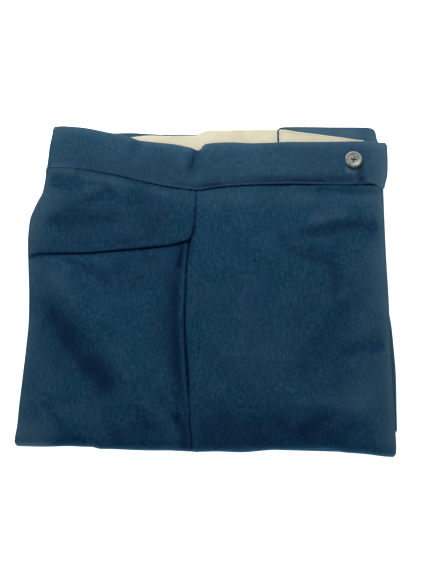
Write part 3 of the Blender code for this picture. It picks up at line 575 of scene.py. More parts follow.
def across_band(foot, wall, top, low, waviness):
    """Points of a strip along the left waistband, whose faint waves die out at its top edge."""
    rows, columns = Spacing(10), Spacing(150)
    x, y = woven(rows, columns, top, level(low), level(LEFT_BAND_LEFT), level(LEFT_BAND_RIGHT))
    from_top = rows.from_start[:, None]
    waves = np.sin(x * 61 + 0.7) + 0.6 * np.sin(x * 143 + y * 60)
    wave = waviness * waves * ease(from_top / (4 * MM))
    z = foot + wall + wave - rounded(from_top, CUT_EDGE)
    return np.stack((x, y, z), axis=2)


left_wool_points = across_band(LEFT_BAND_FOOT, CLOTH, left_band_top, LEFT_BAND_LOW, 0.0)
left_wool = cloth_piece(
    "left_waistband_wool",
    left_wool_points,
    CLOTH,
    wool("left waistband wool", ON_CLOTH),
    nap=np.full(left_wool_points.shape[:2], LEFT_BAND_PAINTED_LIGHT),
)
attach(left_wool, "root")
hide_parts("left_waistband")


DRILL_AGED = (0.450, 0.412, 0.300)
DRILL_CLEAN = (0.530, 0.490, 0.374)
DRILL_SLUB = (0.375, 0.330, 0.23)


def drill(name, where, painted_shading=1.0):
    """Cream cotton drill: fine diagonal ribs, a little creased and yellowed."""
    finish = Finish(name, Roughness=0.82, Specular_IOR_Level=0.25, Sheen_Weight=0.15)
    place = finish.node(*where)
    ribs = finish.node(
        "ShaderNodeTexWave",
        {"wave_type": "BANDS", "bands_direction": "DIAGONAL"},
        {"Vector": place, "Scale": 560, "Distortion": 1.2, "Detail": 2.0, "Detail Scale": 3.0},
        1,
    )
    slubs = finish.noise(finish.stretched(place, (1.0, 0.2, 1.0)), 900, 2.0)
    age = finish.noise(place, 38, 3.0)
    # the colours are scaled as painted light or shade
    aged, clean, slub = ([c * painted_shading for c in color] for color in (DRILL_AGED, DRILL_CLEAN, DRILL_SLUB))
    color = finish.blend(finish.levels(age, 0.35, 0.7), aged, clean)
    color = finish.blend(finish.levels(slubs, 0.5, 0.8) * 0.25, color, slub)
    rise = ribs * 0.5 + slubs * 0.5
    return finish.paint(Base_Color=color, Normal=finish.bump(rise, 0.35, 0.0002))


left_lining = cloth_piece(
    "left_waistband_drill",
    across_band(LEFT_LINING_FOOT, LINING, left_lining_top, LEFT_LINING_LOW, 0.10 * MM),
    LINING,
    drill("left waistband drill", ON_CLOTH),
)
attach(left_lining, "root")
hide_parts("left_waistband_lining")

# The front panel
#
# The right leg's front, cut in one piece from the waistband down. Its outer edge rolls over at
# the front crease, and below the hip it turns round the bottom fold and back under the bundle.

# y, x of the side seam, width of the gap there. The pocket mouth is its open stretch.
SIDE_SEAM = (
    (105, -11.2, 0.1), (70, -12.1, 0.1), (57, -13.4, 0.4), (46, -17.6, 1.4), (23, -20.4, 1.4),
    (-8, -21.8, 1.5), (-40, -22.6, 1.9), (-66, -21.4, 2.5), (-92, -19.6, 2.9), (-112, -18.4, 2.2),
    (-128, -17.4, 0.1), (-150, -16.2, 0.1), (-172, -14.6, 0.1),
)
# x, top edge, lower seam of the right waistband
RIGHT_BAND = (
    (-176, 177.0, 131.2), (-166, 179.0, 131.1), (-156, 179.6, 130.8), (-146, 178.9, 130.2),
    (-133, 177.7, 128.4), (-120, 175.1, 126.0), (-107, 172.2, 123.4), (-95, 170.0, 120.8),
    (-87, 168.0, 118.7), (-81, 165.7, 117.0), (-74, 163.0, 115.1), (-66, 161.8, 113.2),
    (-55, 160.5, 110.7), (-42, 159.2, 108.0), (-29, 157.3, 105.9), (-22, 155.5, 104.9),
    (-16, 154.0, 104.2), (-12, 151.9, 103.8), (-9, 151.0, 103.7), (-6, 152.9, 103.8),
    (-3, 157.6, 104.3), (1, 158.9, 105.1), (8, 160.0, 106.5), (25, 160.6, 108.4),
    (43, 159.8, 109.4), (58, 159.2, 109.8), (72, 158.9, 110.2), (90, 159.8, 110.7),
    (123, 159.7, 110.7), (150, 160.2, 110.6), (167, 160.5, 111.4), (176, 160.5, 112.0),
    (182, 160.1, 111.2), (188, 159.0, 107.5),
)
side_seam = curve_through(SIDE_SEAM, 0, 1)
mouth_gap = curve_through(SIDE_SEAM, 0, 2)
waist_seam = curve_through(RIGHT_BAND, 0, 2)

# Half width and depth of each fold, and the points that it runs through. A ridge has a
# negative depth.
HIP_FOLDS = (
    (15.0, 4.6, (-166, -30), (-141, -60), (-104, -106)),
    (8.0, 2.4, (-164, 66), (-132, 88), (-107, 99)),
    (8.5, 2.3, (-160, 65), (-100, 68)),
    (9.0, -0.9, (-148, 52), (-112, 54)),
    (5.0, 1.9, (-146, 23), (-128, 16), (-106, 8)),
    (7.0, 2.2, (-166, 121), (-142, 118)),
    (8.0, 1.0, (-86, 92), (-66, 90)),
    (6.5, 2.3, (101, 53), (132, 59), (150, 63), (164, 62)),
    (8.0, -0.7, (104, 66), (158, 76)),
    (6.0, 2.2, (83, 46), (107, 34), (134, 28)),
    (4.0, -0.7, (90, 56), (112, 46)),
    (11.0, 2.6, (152, -24), (133, -46), (115, -68), (96, -102)),
    (9.0, 2.4, (144, -73), (180, -62)),
    (11.0, 1.9, (112, -138), (90, -166)),
    (6.0, -1.2, (96, -146), (82, -168)),
    (13.0, 1.6, (0, -140), (46, -156), (68, -160)),
    (5.0, 2.2, (-43, -128), (-24, -161)),
    (7.0, -1.4, (-60, -130), (-36, -158)),
    (4.5, 1.3, (-165, -131), (-150, -147), (-136, -163)),
    (9.0, 1.0, (-88, -136), (-72, -160)),
    (12.0, 0.5, (64, -20), (88, -38)),
    (16.0, 0.4, (20, 40), (60, 20)),
    (2.8, 1.1, (120, 104), (186, 103)),
)
# y, how far the hollow beside the pocket mouth lies from the seam, its depth
POCKET_HOLLOW = (
    (52, 8.6, 0.0), (33, 9.5, 2.8), (0, 12.3, 4.0), (-29, 12.8, 4.4), (-83, 12.8, 4.4),
    (-112, 10.8, 3.2), (-126, 9.5, 1.6), (-138, 9.0, 0.0),
)
hollow_away = curve_through(POCKET_HOLLOW, 0, 1)
hollow_depth = curve_through(POCKET_HOLLOW, 0, 2)


def strokes(table, x, y):
    """The sum of a table's folds at a place. A fold's strength wavers along it."""
    total = np.zeros(np.broadcast(x, y).shape)
    for half_width, strength, *points in table:
        nearest = np.full(total.shape, np.inf)
        for (x0, y0), (x1, y1) in zip(points, points[1:]):
            run_x, run_y = (x1 - x0) * MM, (y1 - y0) * MM
            t = ((x - x0 * MM) * run_x + (y - y0 * MM) * run_y) / (run_x**2 + run_y**2)
            t = np.clip(t, 0, 1)
            away = np.hypot(x - x0 * MM - run_x * t, y - y0 * MM - run_y * t)
            nearest = np.minimum(nearest, away)
        waver = 1 + 0.15 * np.sin(x * 90 + strength * 7) + 0.10 * np.sin(y * 140 + half_width)
        total += strength * waver * np.exp(-((nearest / (half_width * MM)) ** 2))
    return total


def ripple(x, y):
    """The faint unevenness of heavy cloth that has lain folded."""
    return 0.16 * MM * (
        np.sin(x * 71 + y * 33 + 0.4)
        + np.sin(x * 37 - y * 88 + 2.0)
        + 0.7 * np.sin(x * 151 + y * 97 + 1.1)
        + 0.5 * np.sin(x * 213 - y * 171 + 0.3)
    )


def hip_height(x, y):
    """Height of the right half's outer face."""
    folds = strokes(HIP_FOLDS, x, y) * MM + hollow_depth(y) * in_hollow(x, y)
    return plain_height(x, y) - folds + ripple(x, y)


# Half width and strength of each stroke of painted shade in the creases, hollows and troughs, and the
# points that it runs through. A negative strength makes a painted highlight.
HIP_PAINTED_SHADE = (
    (15.0, 0.54, (-158, -36), (-142, -59), (-123, -82), (-106, -106)),
    (9.0, 0.24, (-146, -62), (-132, -78), (-124, -92)),
    (6.0, 0.30, (-164, 115), (-146, 113), (-138, 110)),
    (11.0, 0.28, (-158, 62), (-128, 68), (-106, 66)),
    (8.0, 0.26, (-140, 78), (-120, 92), (-108, 99)),
    (6.0, 0.14, (-104, 100), (-94, 96)),
    (18.0, 0.22, (-70, 92), (-50, 70), (-60, 56)),
    (8.0, 0.12, (-44, 76), (-36, 70)),
    (6.0, 0.32, (-106, 46), (-78, 47.5)),
    (14.0, 0.20, (-92, 24), (-66, 6)),
    (9.0, 0.26, (-62, 30), (-50, 24), (-46, 8)),
    (9.0, 0.18, (-92, 12), (-80, -4)),
    (8.0, 0.20, (-50, -30), (-48, -70)),
    (3.8, 0.56, (-140, 16.8), (-126, 12.8), (-113, 7.3), (-104, 3)),
    (6.0, 0.36, (104, 52.5), (130, 56)),
    (9.5, 0.46, (142, 60.5), (172, 62.5)),
    (7.0, -0.18, (116, 71), (144, 73)),
    (3.0, -0.20, (-166, 128.5), (-144, 127.5)),
    (4.8, 0.46, (86, 40), (99, 32.5), (120, 26.5), (136, 21.5)),
    (7.0, 0.24, (132, 16), (138, 6), (134, -6)),
    (10.0, 0.22, (148, -28), (126, -58), (108, -88)),
    (6.0, 0.24, (100, -90), (108, -108)),
    (6.0, 0.40, (142, -73), (160, -70), (180, -66)),
    (7.0, 0.48, (99, -152), (112, -146), (122, -141)),
    (8.0, 0.46, (100, -159), (138, -157)),
    (9.0, 0.20, (148, -150), (164, -152)),
    (8.0, 0.36, (78, -148), (88, -157)),
    (14.0, 0.42, (2, -156), (24, -160), (40, -156), (62, -158)),
    (9.0, 0.16, (18, -128), (20, -146)),
    (28.0, 0.08, (-100, -152), (100, -152)),
    (1.5, 0.40, (-11.6, 84), (-13.2, 60)),
    (3.4, 0.66, (-13.0, 60), (-15.5, 52), (-18, 47)),
    (3.0, 0.28, (-16.5, 44), (-17.5, 26)),
    (3.6, 0.40, (-25, 42), (-27, 30), (-28.5, 20)),
    (9.0, 0.18, (-106, -112), (-84, -114)),
    (3.0, 0.25, (-22, -122), (-19, -160)),
    (3.5, 0.36, (-31, -118), (-28, -142)),
    (5.0, 0.42, (-33, -140), (-24, -152), (-21, -172)),
    (5.0, 0.30, (-76, -128), (-60, -148), (-44, -158)),
    (9.0, 0.26, (-90, -156), (-66, -154)),
    (4.0, 0.10, (-164, -132), (-150, -147), (-136, -162)),
    (6.0, 0.20, (-98, -150), (-92, -160)),
    (3.0, 0.22, (104, 104.5), (128, 103.5), (184, 102)),
    (5.0, -0.16, (-152, 124), (-140, 123), (-115, 118), (-80, 109), (-45, 100)),
    (5.0, -0.14, (-142, 108), (-104, 103), (-58, 96)),
    (11.0, -0.10, (-30, 98), (10, 96), (180, 96)),
    (14.0, -0.10, (-184, 64), (-170, 88), (-164, 100)),
    (12.0, -0.12, (-158, 4), (-148, -16)),
    (10.0, -0.10, (-150, -136), (-112, -138)),
    (14.0, -0.23, (-190, -158), (-166, -164)),
    (4.0, -0.26, (26, -172), (52, -172)),
    (12.0, -0.12, (128, -124), (156, -126)),
    (8.0, -0.16, (140, -12), (148, -20)),
    (7.0, -0.10, (94, -125), (116, -125)),
    (12.0, -0.08, (176, -150), (184, -158)),
    (10.0, -0.10, (180, 30), (182, -20)),
    (30.0, -0.04, (40, -60), (80, -90)),
    (24.0, -0.06, (165, -60), (165, -120)),
    (5.0, 0.16, (-185, -6), (-185, -30)),
    (5.0, 0.30, (-150, -170), (-128, -170)),
    (4.0, 0.30, (-110, -171), (-86, -172)),
    (4.0, -0.20, (-192, -168), (-168, -168)),
    (4.0, 0.12, (-38, -170), (-18, -170)),
)
# x, how much painted shade the waistband's seam gets there, which is also how far the band stands out
# over it
WAIST_SHADE = (
    (-172, 0.0), (-158, 0.02), (-144, 0.06), (-132, 0.28), (-84, 0.45), (-60, 0.60),
    (-40, 0.60), (-10, 0.75), (30, 0.80), (60, 0.95), (104, 0.90), (120, 0.55), (158, 0.50),
    (165, 0.90), (176, 0.80), (182, 0.25), (189, 0.05),
)


# The hollow is wide towards the back, and steep towards the ridge along the pocket mouth
HOLLOW_WIDE, HOLLOW_STEEP, MOUTH_RIDGE = 11.0 * MM, 0.57, 4.8 * MM


def in_hollow(x, y):
    """1 in the middle of the hollow beside the pocket mouth, falling to 0 around it."""
    beside = side_seam(y) - hollow_away(y) - x
    spread = np.where(beside > 0, HOLLOW_WIDE, HOLLOW_STEEP * (hollow_away(y) - MOUTH_RIDGE))
    return np.exp(-((beside / spread) ** 2))


def waist_shade(x):
    """How much painted shade the waistband's seam gets at x, from 0 to 1."""
    places, shades = zip(*WAIST_SHADE)
    return np.interp(x, np.array(places) * MM, shades)


def seam_shade(distance, half_width):
    """The painted shade line beside a seam, at a distance from it."""
    return np.exp(-((distance / (half_width * MM)) ** 2))


# How much paler an edge is painted as a highlight, and how far that reaches in millimetres, close by
# and further in
LEFT_EDGE_HIGHLIGHT = ((0.26, 3.5), (0.22, 15))
RIGHT_EDGE_HIGHLIGHT = ((0.46, 5), (0.24, 17))


def edge_highlight(wear, distance):
    """How much paler the cloth is painted at a distance from an edge, as a painted highlight."""
    return sum(most * np.exp(-distance / (reach * MM)) for most, reach in wear)


# The hollow's painted shade is darkest a little nearer the pocket than its deepest line
HOLLOW_PAINTED_SHADE, HOLLOW_DEEPEST, HOLLOW_ASIDE = 0.66, 4.4 * MM, 3.4 * MM


def hip_painted_shade(x, y, *seams):
    """The hip's painted light and shade: below 1 painted shade, with the seams' painted shade lines,
    above 1 painted highlight.
    """
    hollow = HOLLOW_PAINTED_SHADE * hollow_depth(y) / HOLLOW_DEEPEST * in_hollow(x - HOLLOW_ASIDE, y)
    painted_shading = strokes(HIP_PAINTED_SHADE, x, y) + hollow
    painted_shading = painted_shading + waist_shade(x) * seam_shade(waist_seam(x) - y, 1.3)
    painted_highlight = edge_highlight(LEFT_EDGE_HIGHLIGHT, x - left_edge(y)) + edge_highlight(RIGHT_EDGE_HIGHLIGHT, right_edge(y) - x)
    painted_shading = painted_shading - painted_highlight
    for seam in seams:
        painted_shading = painted_shading + seam
    return 1 - painted_shading


PANEL_REACH = 22.0 * MM  # from the foremost line back to where the panel starts to turn
SQUARE_FOLD = 0.62  # 1 would be a round turn, and less is squarer
PUCKER = 0.35 * MM
FOLD_TURNS = np.linspace(0, math.pi, 25)
TUCK_PLACES = np.linspace(0, TUCK, 7)[1:]
LIP_TURNS = np.linspace(0, math.pi, 13)[1:]
# Seams sink less from here down, and only by this share at the bottom fold
LOW_SINK_START, LOW_SINK_LENGTH, LOW_SINK = -134 * MM, 16 * MM, 0.4


def leg_panel(rows, columns, top, start, end, side, sink, nap):
    """Points of a leg panel: down the top, round the bottom fold and back under the bundle.

    start and end give x of its two upright edges at y, and the one on the side -1 (left) or
    1 (right) is rolled over. sink gives how deep the cloth lies under the hip's outer face, and
    nap its painted light and shade.
    """
    x, y = woven(rows, columns, top, lambda x: fold_line(x) + PANEL_REACH, start, end)
    sunk = sink(x, y)
    low_sunk = sunk[-1] * LOW_SINK
    sunk = sunk + (sunk * LOW_SINK - sunk) * ease((LOW_SINK_START - y) / LOW_SINK_LENGTH)
    low_x, low_y = x[-1], fold_line(x[-1]) + PANEL_REACH
    height = hip_height(low_x, low_y)
    turn = FOLD_TURNS[1:, None]
    forward = np.abs(np.sin(turn)) ** SQUARE_FOLD
    up = np.sign(np.cos(turn)) * np.abs(np.cos(turn)) ** SQUARE_FOLD
    pucker = PUCKER * np.sin(low_x * 120 + 0.5 * np.sin(low_x * 47)) * np.sin(turn) ** 2
    fold_y = low_y - (PANEL_REACH - low_sunk) * forward + pucker
    under_y = low_y + TUCK_PLACES[:, None]
    turned_y = np.concatenate((fold_y, np.broadcast_to(under_y, (len(TUCK_PLACES), len(low_y)))))
    turned_x = columns.between(start(turned_y), end(turned_y))
    fold_z = height / 2 + (height / 2 - low_sunk) * up
    under_z = np.broadcast_to(low_sunk, (len(TUCK_PLACES), len(low_sunk)))
    z = np.concatenate((hip_height(x, y) - sunk, fold_z, under_z))
    flat = np.concatenate((0 * x[:, 0], FOLD_TURNS[1:], 0 * TUCK_PLACES + math.pi))
    x, y = np.concatenate((x, turned_x)), np.concatenate((y, turned_y))
    return with_lip(np.stack((x, y, z), axis=2), flat, side), lip_painted_shade(nap(x, y), side)


def lip_painted_shade(nap, side):
    """The painted light and shade of a grid whose edge is rolled over, as on the edge itself."""
    width = (0, len(LIP_TURNS)) if side > 0 else (len(LIP_TURNS), 0)
    return np.pad(nap, ((0, 0), width), mode="edge")


def with_lip(grid, flat, side):
    """The same grid with one upright edge rolled over. flat is how far each row has turned."""
    column = -1 if side > 0 else 0
    edge = grid[:, [column]]
    out = LIP * np.sin(LIP_TURNS)[None, :]
    down = LIP * (1 - np.cos(LIP_TURNS))[None, :]
    lip = np.stack(
        (
            edge[..., 0] + side * out,
            edge[..., 1] + down * np.sin(flat)[:, None],
            edge[..., 2] - down * np.cos(flat)[:, None],
        ),
        axis=2,
    )
    return np.concatenate((grid, lip) if side > 0 else (lip[:, ::-1], grid), axis=1)


MOUTH_TOP, MOUTH_FOOT = 44 * MM, -130 * MM
# The row of stitches beside it draws a groove: its distance from the seam, its depth, its width
TOPSTITCH_AWAY, STITCH_GROOVE, GROOVE_HALF_WIDTH = 9.5 * MM, 0.3 * MM, 1.2 * MM
SEAM_REACH = 1.7 * MM  # how far a pressed seam's softness reaches
FLAT_BY_LIP = 9 * MM  # seams flatten out over this length before a rolled edge
# The welt beside the pocket mouth stands up: its height, its distance from the seam, its width
WELT, WELT_AWAY, WELT_HALF_WIDTH = 0.5 * MM, 4.5 * MM, 3.2 * MM
front_rows, front_columns = Spacing(92, near_end=False), Spacing(74, near_end=False)


def stitch_groove(x, y):
    """How deep the cloth is drawn in along the row of stitches beside the pocket mouth."""
    in_mouth = ease((MOUTH_TOP - y) / (20 * MM)) * ease((y - MOUTH_FOOT) / (12 * MM))
    away = x - side_seam(y) - TOPSTITCH_AWAY
    return STITCH_GROOVE * in_mouth * np.exp(-((away / GROOVE_HALF_WIDTH) ** 2))


def front_sink(x, y):
    """How deep the front lies under the hip's outer face: its seams, the welt and the stitches."""
    from_seam = x - side_seam(y)
    sunk = rounded(front_columns.from_start[None, :], SEAM_REACH)
    sunk = np.maximum(sunk, rounded(front_rows.from_start[:, None], SEAM_REACH) * waist_shade(x))
    sunk = sunk * ease((right_edge(y) - LIP - x) / FLAT_BY_LIP)
    sunk = sunk - WELT * np.exp(-(((from_seam - WELT_AWAY) / WELT_HALF_WIDTH) ** 2))
    return sunk + stitch_groove(x, y)


def front_painted_shade(x, y):
    from_seam = np.maximum(x - side_seam(y) - mouth_gap(y) / 2, 0)
    # painted shade along the side seam
    return hip_painted_shade(x, y, 0.8 * seam_shade(from_seam, 0.8))


# The rims of the cut edges are painted a deep navy, as painted shade in the seams' gaps
shaded_cut_wool = Finish(
    "cut wool", Roughness=1.0, Specular_IOR_Level=0.05, Base_Color=(0.001, 0.006, 0.045, 1)
)
front_points, front_painted_level = leg_panel(
    front_rows,
    front_columns,
    lambda x: waist_seam(x) - CLOSE,
    lambda y: side_seam(y) + mouth_gap(y) / 2,
    lambda y: right_edge(y) - LIP,
    1,
    front_sink,
    front_painted_shade,
)
front_wool = cloth_piece(
    "front_panel_wool",
    front_points,
    CLOTH,
    wool("front panel wool", ON_CLOTH),
    shaded_cut_wool.material,
    front_painted_level,
)
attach(front_wool, "root")
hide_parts("front_panel")

# The back panel
#
# The right leg's back, sewn to the yoke above it and to the front at the side. Beside the
# pocket mouth it sinks into a long hollow behind a narrow ridge, and it carries the main crease.

# x, y of the seam under the yoke
YOKE_SEAM = (
    (-192, 29.5), (-180, 32.4), (-167, 32.9), (-129, 32.9), (-102, 34.8), (-63, 38.1), (-38, 41.2),
    (-18, 45.4),
)
# A narrow ridge runs along the pocket mouth: its height, its distance from the seam, its width
RIDGE, RIDGE_AWAY, RIDGE_HALF_WIDTH, RIDGE_FOOT = 0.7 * MM, 3.2 * MM, 1.8 * MM, -126 * MM
MOUTH_EDGE_REACH = 1.5 * MM  # how far the softness of the edge by the pocket mouth reaches
yoke_seam = curve_through(YOKE_SEAM, 0, 1)


def yoke_gap(x):
    """Half the opening of the yoke seam, which closes where the cloth rolls over."""
    return (0.05 + 0.4 * ease((x + 168 * MM) / (14 * MM))) * MM


def back_start(y):
    return left_edge(y) + LIP


def back_end(y):
    return side_seam(y) - mouth_gap(y) / 2


def back_sink(rows, columns, top_shade):
    """A function for how deep a piece of the back lies: its seams, less the ridge by the pocket."""

    def sink(x, y):
        sunk = np.maximum(
            rounded(columns.from_end[None, :], MOUTH_EDGE_REACH),
            rounded(rows.from_start[:, None], SEAM_REACH) * top_shade(x),
        )
        sunk = np.maximum(sunk, rounded(rows.from_end[:, None], SEAM_REACH))
        sunk = sunk * ease((x - left_edge(y) - LIP) / FLAT_BY_LIP)
        away = side_seam(y) - x
        ridge = ease((MOUTH_TOP - y) / (20 * MM)) * ease((y - RIDGE_FOOT) / (20 * MM))
        return sunk - RIDGE * ridge * np.exp(-(((away - RIDGE_AWAY) / RIDGE_HALF_WIDTH) ** 2))

    return sink


def back_painted_shade(x, y):
    # painted shade along the side seam and under the yoke
    side = seam_shade(np.maximum(back_end(y) - x, 0), 0.8)
    yoke = seam_shade(y - yoke_seam(x), 2.1) * ease((x + 192 * MM) / (10 * MM))
    return hip_painted_shade(x, y, 0.8 * side, 0.9 * yoke)


back_rows, back_columns = Spacing(74, near_end=False), Spacing(64, near_start=False)
back_points, back_painted_level = leg_panel(
    back_rows,
    back_columns,
    lambda x: yoke_seam(x) - yoke_gap(x),
    back_start,
    back_end,
    -1,
    back_sink(back_rows, back_columns, level(1.0)),
    back_painted_shade,
)
# painted light: the back panel's wool is a little lighter all over
back_wool = cloth_piece(
    "back_panel_wool",
    back_points,
    CLOTH,
    wool("back panel wool", ON_CLOTH, painted_shading=1.08),
    shaded_cut_wool.material,
    back_painted_level,
)
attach(back_wool, "root")
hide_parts("back_panel")

# The back yoke
#
# A shaped piece that narrows the back to the waist. Its lower edge is lapped and stands a little
# open over the back panel, as a dark line from the left edge to the top of the pocket, with painted
# shade along it.
yoke_rows = Spacing(26)
yoke_x, yoke_y = woven(
    yoke_rows,
    back_columns,
    lambda x: waist_seam(x) - CLOSE,
    lambda x: yoke_seam(x) + yoke_gap(x),
    back_start,
    back_end,
)
yoke_z = hip_height(yoke_x, yoke_y) - back_sink(yoke_rows, back_columns, waist_shade)(yoke_x, yoke_y)
yoke_points = with_lip(np.stack((yoke_x, yoke_y, yoke_z), axis=2), np.zeros(len(yoke_z)), -1)
# painted shade: the yoke's wool is a little darker all over
yoke_wool = cloth_piece(
    "back_yoke_wool",
    yoke_points,
    CLOTH,
    wool("back yoke wool", ON_CLOTH, painted_shading=0.92),
    shaded_cut_wool.material,
    lip_painted_shade(back_painted_shade(yoke_x, yoke_y), -1),
)
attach(yoke_wool, "root")
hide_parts("back_yoke")

# The pocket facing
#
# A strip of the same wool lines the pocket just inside its mouth, so that the opening shows wool
# and no pocketing. The strip is painted in deep shade, so the opening looks dark.
# the facing's wool is painted in deep shade
FACING, FACING_BELOW, FACING_PAINTED_SHADE = 1.2 * MM, 0.5 * MM, 0.1
# How far it reaches behind and in front of the side seam, and where it ends
FACING_BACK, FACING_FRONT, FACING_FOOT = 3.4 * MM, 13.6 * MM, -126 * MM
facing_rows, facing_columns = Spacing(50), Spacing(6)
facing_x, facing_y = woven(
    facing_rows,
    facing_columns,
    level(MOUTH_TOP),
    level(FACING_FOOT),
    lambda y: side_seam(y) - FACING_BACK,
    lambda y: side_seam(y) + FACING_FRONT,
)
facing_z = hip_height(facing_x, facing_y) - CLOTH - FACING_BELOW
facing_wool = cloth_piece(
    "pocket_facing_wool",
    np.stack((facing_x, facing_y, facing_z), axis=2),
    FACING,
    wool("pocket facing wool", ON_CLOTH),
    nap=np.full(facing_x.shape, FACING_PAINTED_SHADE),
)
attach(facing_wool, "root")
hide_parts("pocket_facing")

# The right waistband and its tab
#
# Wool folded over canvas. It is rolled over at its left end, and its right end runs on as a tab
# that is folded back under it and shows beyond its top edge.
BAND = 2.4 * MM
TAB_FOOT = LEFT_LINING_FOOT + LINING + SEAM
TAB_LINING_FOOT = TAB_FOOT + BAND + SEAM
# The top edge lies low over the left waistband, and climbs to lie over the tab as well
BAND_EDGE_LOW = TAB_FOOT + BAND + 0.6 * MM
BAND_EDGE_HIGH = TAB_LINING_FOOT + LINING + SEAM + BAND + 0.4 * MM
CLIMB_START, CLIMB_LENGTH = 44 * MM, 32 * MM
BAND_RAISE = 1.0 * MM  # how far its lower edge stands above the hip where the seam is dark
BAND_ROLL = 3.5 * MM  # radius of its rolled left end
# How far its ends' upper corners are rounded off, and from what share of the height
END_CORNER, END_CORNER_START = 4 * MM, 0.8
band_top = curve_through(RIGHT_BAND, 0, 1)

# y, left end, right end
BAND_ENDS = (
    (106, -176.2, 191.6), (124, -173.9, 195.6), (141, -172.2, 196.4), (156, -171.0, 196.2),
    (176, -168.4, 190.0),
)
band_left = curve_through(BAND_ENDS, 0, 1)
band_right = curve_through(BAND_ENDS, 0, 2)
# x, top edge, lower edge of the tab
TAB = (
    (188.5, 160.0, 109.5), (186.0, 162.0, 113.0), (185.0, 168.0, 116.0), (183.8, 174.0, 118.0),
    (181.0, 177.0, 122.0), (176.0, 178.2, 126.0), (165.0, 178.6, 128.6), (134.0, 178.8, 128.8),
    (103.0, 179.2, 129.0), (84.0, 179.0, 129.2), (79.6, 177.8, 129.8), (77.4, 175.4, 131.4),
    (76.8, 172.6, 134.0),
)
tab_top = curve_through(TAB, 0, 1)
tab_low = curve_through(TAB, 0, 2)

# Half width and depth of each fold, and its points
BAND_FOLDS = (
    (2.4, 2.6, (-13.2, 150), (-15.2, 139), (-19, 127)),
    (4.5, -1.5, (-22.5, 148), (-27, 128)),
    (4.0, -1.1, (-5.5, 151), (-8, 134)),
    (4.5, 1.4, (-76, 160), (-80, 146)),
    (7.0, 0.4, (-40, 140), (-38, 118)),
    (2.8, 2.8, (167, 127), (167, 112)),
    (6.0, -0.8, (174, 128), (179, 116)),
    (2.4, 1.2, (4, 113.5), (58, 115.6), (104, 116.6), (158, 116)),
    (1.8, 0.7, (-34, 111), (-16, 109.4)),
    (9.0, 0.35, (100, 150), (104, 136)),
    (10.0, 0.3, (40, 148), (36, 130)),
)
# Half width and strength of each stroke of painted shade, or of painted highlight where it's negative
BAND_PAINTED_SHADE = (
    (2.1, 0.36, (-12.8, 151), (-14.6, 140), (-17.6, 130)),
    (5.0, 0.33, (-10, 146), (-14, 136), (-17, 124)),
    (12.0, 0.16, (-48, 142), (-30, 124)),
    (12.0, 0.12, (0, 130), (26, 126)),
    (60.0, 0.05, (80, 130), (130, 130)),
    (4.0, 0.40, (165.5, 128), (167.5, 118)),
    (3.0, 0.30, (167, 119), (168, 114)),
    (2.4, 0.35, (166, 117), (170, 113.5)),
    (
        1.9, 0.36, (-10, 108.2), (14, 111.0), (44, 113.4), (66, 114.4), (100, 114.8), (128, 114.8),
        (158, 115.4),
    ),
    (1.8, 0.25, (-2, 109.4), (28, 112.0)),
    (2.0, 0.14, (68, 114.2), (86, 114.6)),
    (2.0, 0.34, (92, 114.7), (124, 114.8)),
    # painted highlight that hides the button's shadow on the band
    (4.0, -0.60, (154, 128), (164, 128.5)),
    (2.5, -0.18, (-166, 133), (-144, 132)),
    (3.0, 0.15, (84, 117), (104, 117.5)),
    (5.5, 0.22, (30, 114), (100, 116.5), (160, 116.5)),
    (6.0, 0.22, (-34, 112), (-8, 108), (12, 111)),
    (1.3, 0.25, (-34, 110.6), (-14, 108.4)),
    (16.0, 0.20, (-140, 142), (-100, 132), (-50, 120)),
    (5.0, 0.14, (-76, 160), (-82, 142)),
    (8.0, 0.05, (172, 142), (176, 130)),
    (3.0, 0.08, (146.0, 136), (148, 146), (158.6, 151), (169, 146), (171, 136)),
)


def band_height(x, y):
    """Height of the right waistband's outer face."""
    seam, top = waist_seam(x), band_top(x)
    at_seam = plain_height(x, seam) + BAND_RAISE * waist_shade(x)
    climb = ease((x - CLIMB_START) / CLIMB_LENGTH)
    at_top = BAND_EDGE_LOW + climb * (BAND_EDGE_HIGH - BAND_EDGE_LOW)
    up = np.clip((y - seam) / (top - seam), 0, 1)
    creased = at_seam + (at_top - at_seam) * up**1.3 - strokes(BAND_FOLDS, x, y) * MM
    return np.maximum(creased + ripple(x * 0.8, y) * 0.6, BAND_EDGE_LOW)


band_rows, band_columns = Spacing(14), Spacing(140, near_start=False, near_end=False)
turn_radius = (BAND_EDGE_HIGH - TAB_FOOT) / 2
band_x, band_y = woven(
    band_rows,
    band_columns,
    band_top,
    waist_seam,
    lambda y: band_left(y) + BAND_ROLL,
    lambda y: band_right(y) - turn_radius,
)
band_z = band_height(band_x, band_y)
up = (band_y - band_y[[-1]]) / (band_y[[0]] - band_y[[-1]])


def round_corner(turns, up_end):
    """How far down an end's upper corner is rounded off along its turns."""
    near_top = np.clip(up_end - END_CORNER_START, 0, 1) / (1 - END_CORNER_START)
    return END_CORNER * np.sin(turns) ** 2 * near_top


roll_turns = LIP_TURNS[::-1]
roll_x = band_x[:, [0]] - BAND_ROLL * np.sin(roll_turns)
roll_y = band_y[:, [0]] - round_corner(roll_turns, up[:, [0]])
roll_z = band_z[:, [0]] - BAND_ROLL * (1 - np.cos(roll_turns))
share = LIP_TURNS / math.pi
turn_low = waist_seam(188 * MM) + (tab_low(188.5 * MM) - waist_seam(188 * MM)) * share**3
turn_top = band_top(188 * MM) + (tab_top(188.5 * MM) - band_top(188 * MM)) * share
turn_y = turn_low + (turn_top - turn_low) * up[:, [-1]] - round_corner(LIP_TURNS, up[:, [-1]])
turn_x = band_right(turn_y) - turn_radius + turn_radius * np.sin(LIP_TURNS)
turn_z = band_z[:, [-1]] + (BAND_EDGE_HIGH - band_z[:, [-1]]) * share
turn_z = turn_z - turn_radius * (1 - np.cos(LIP_TURNS))
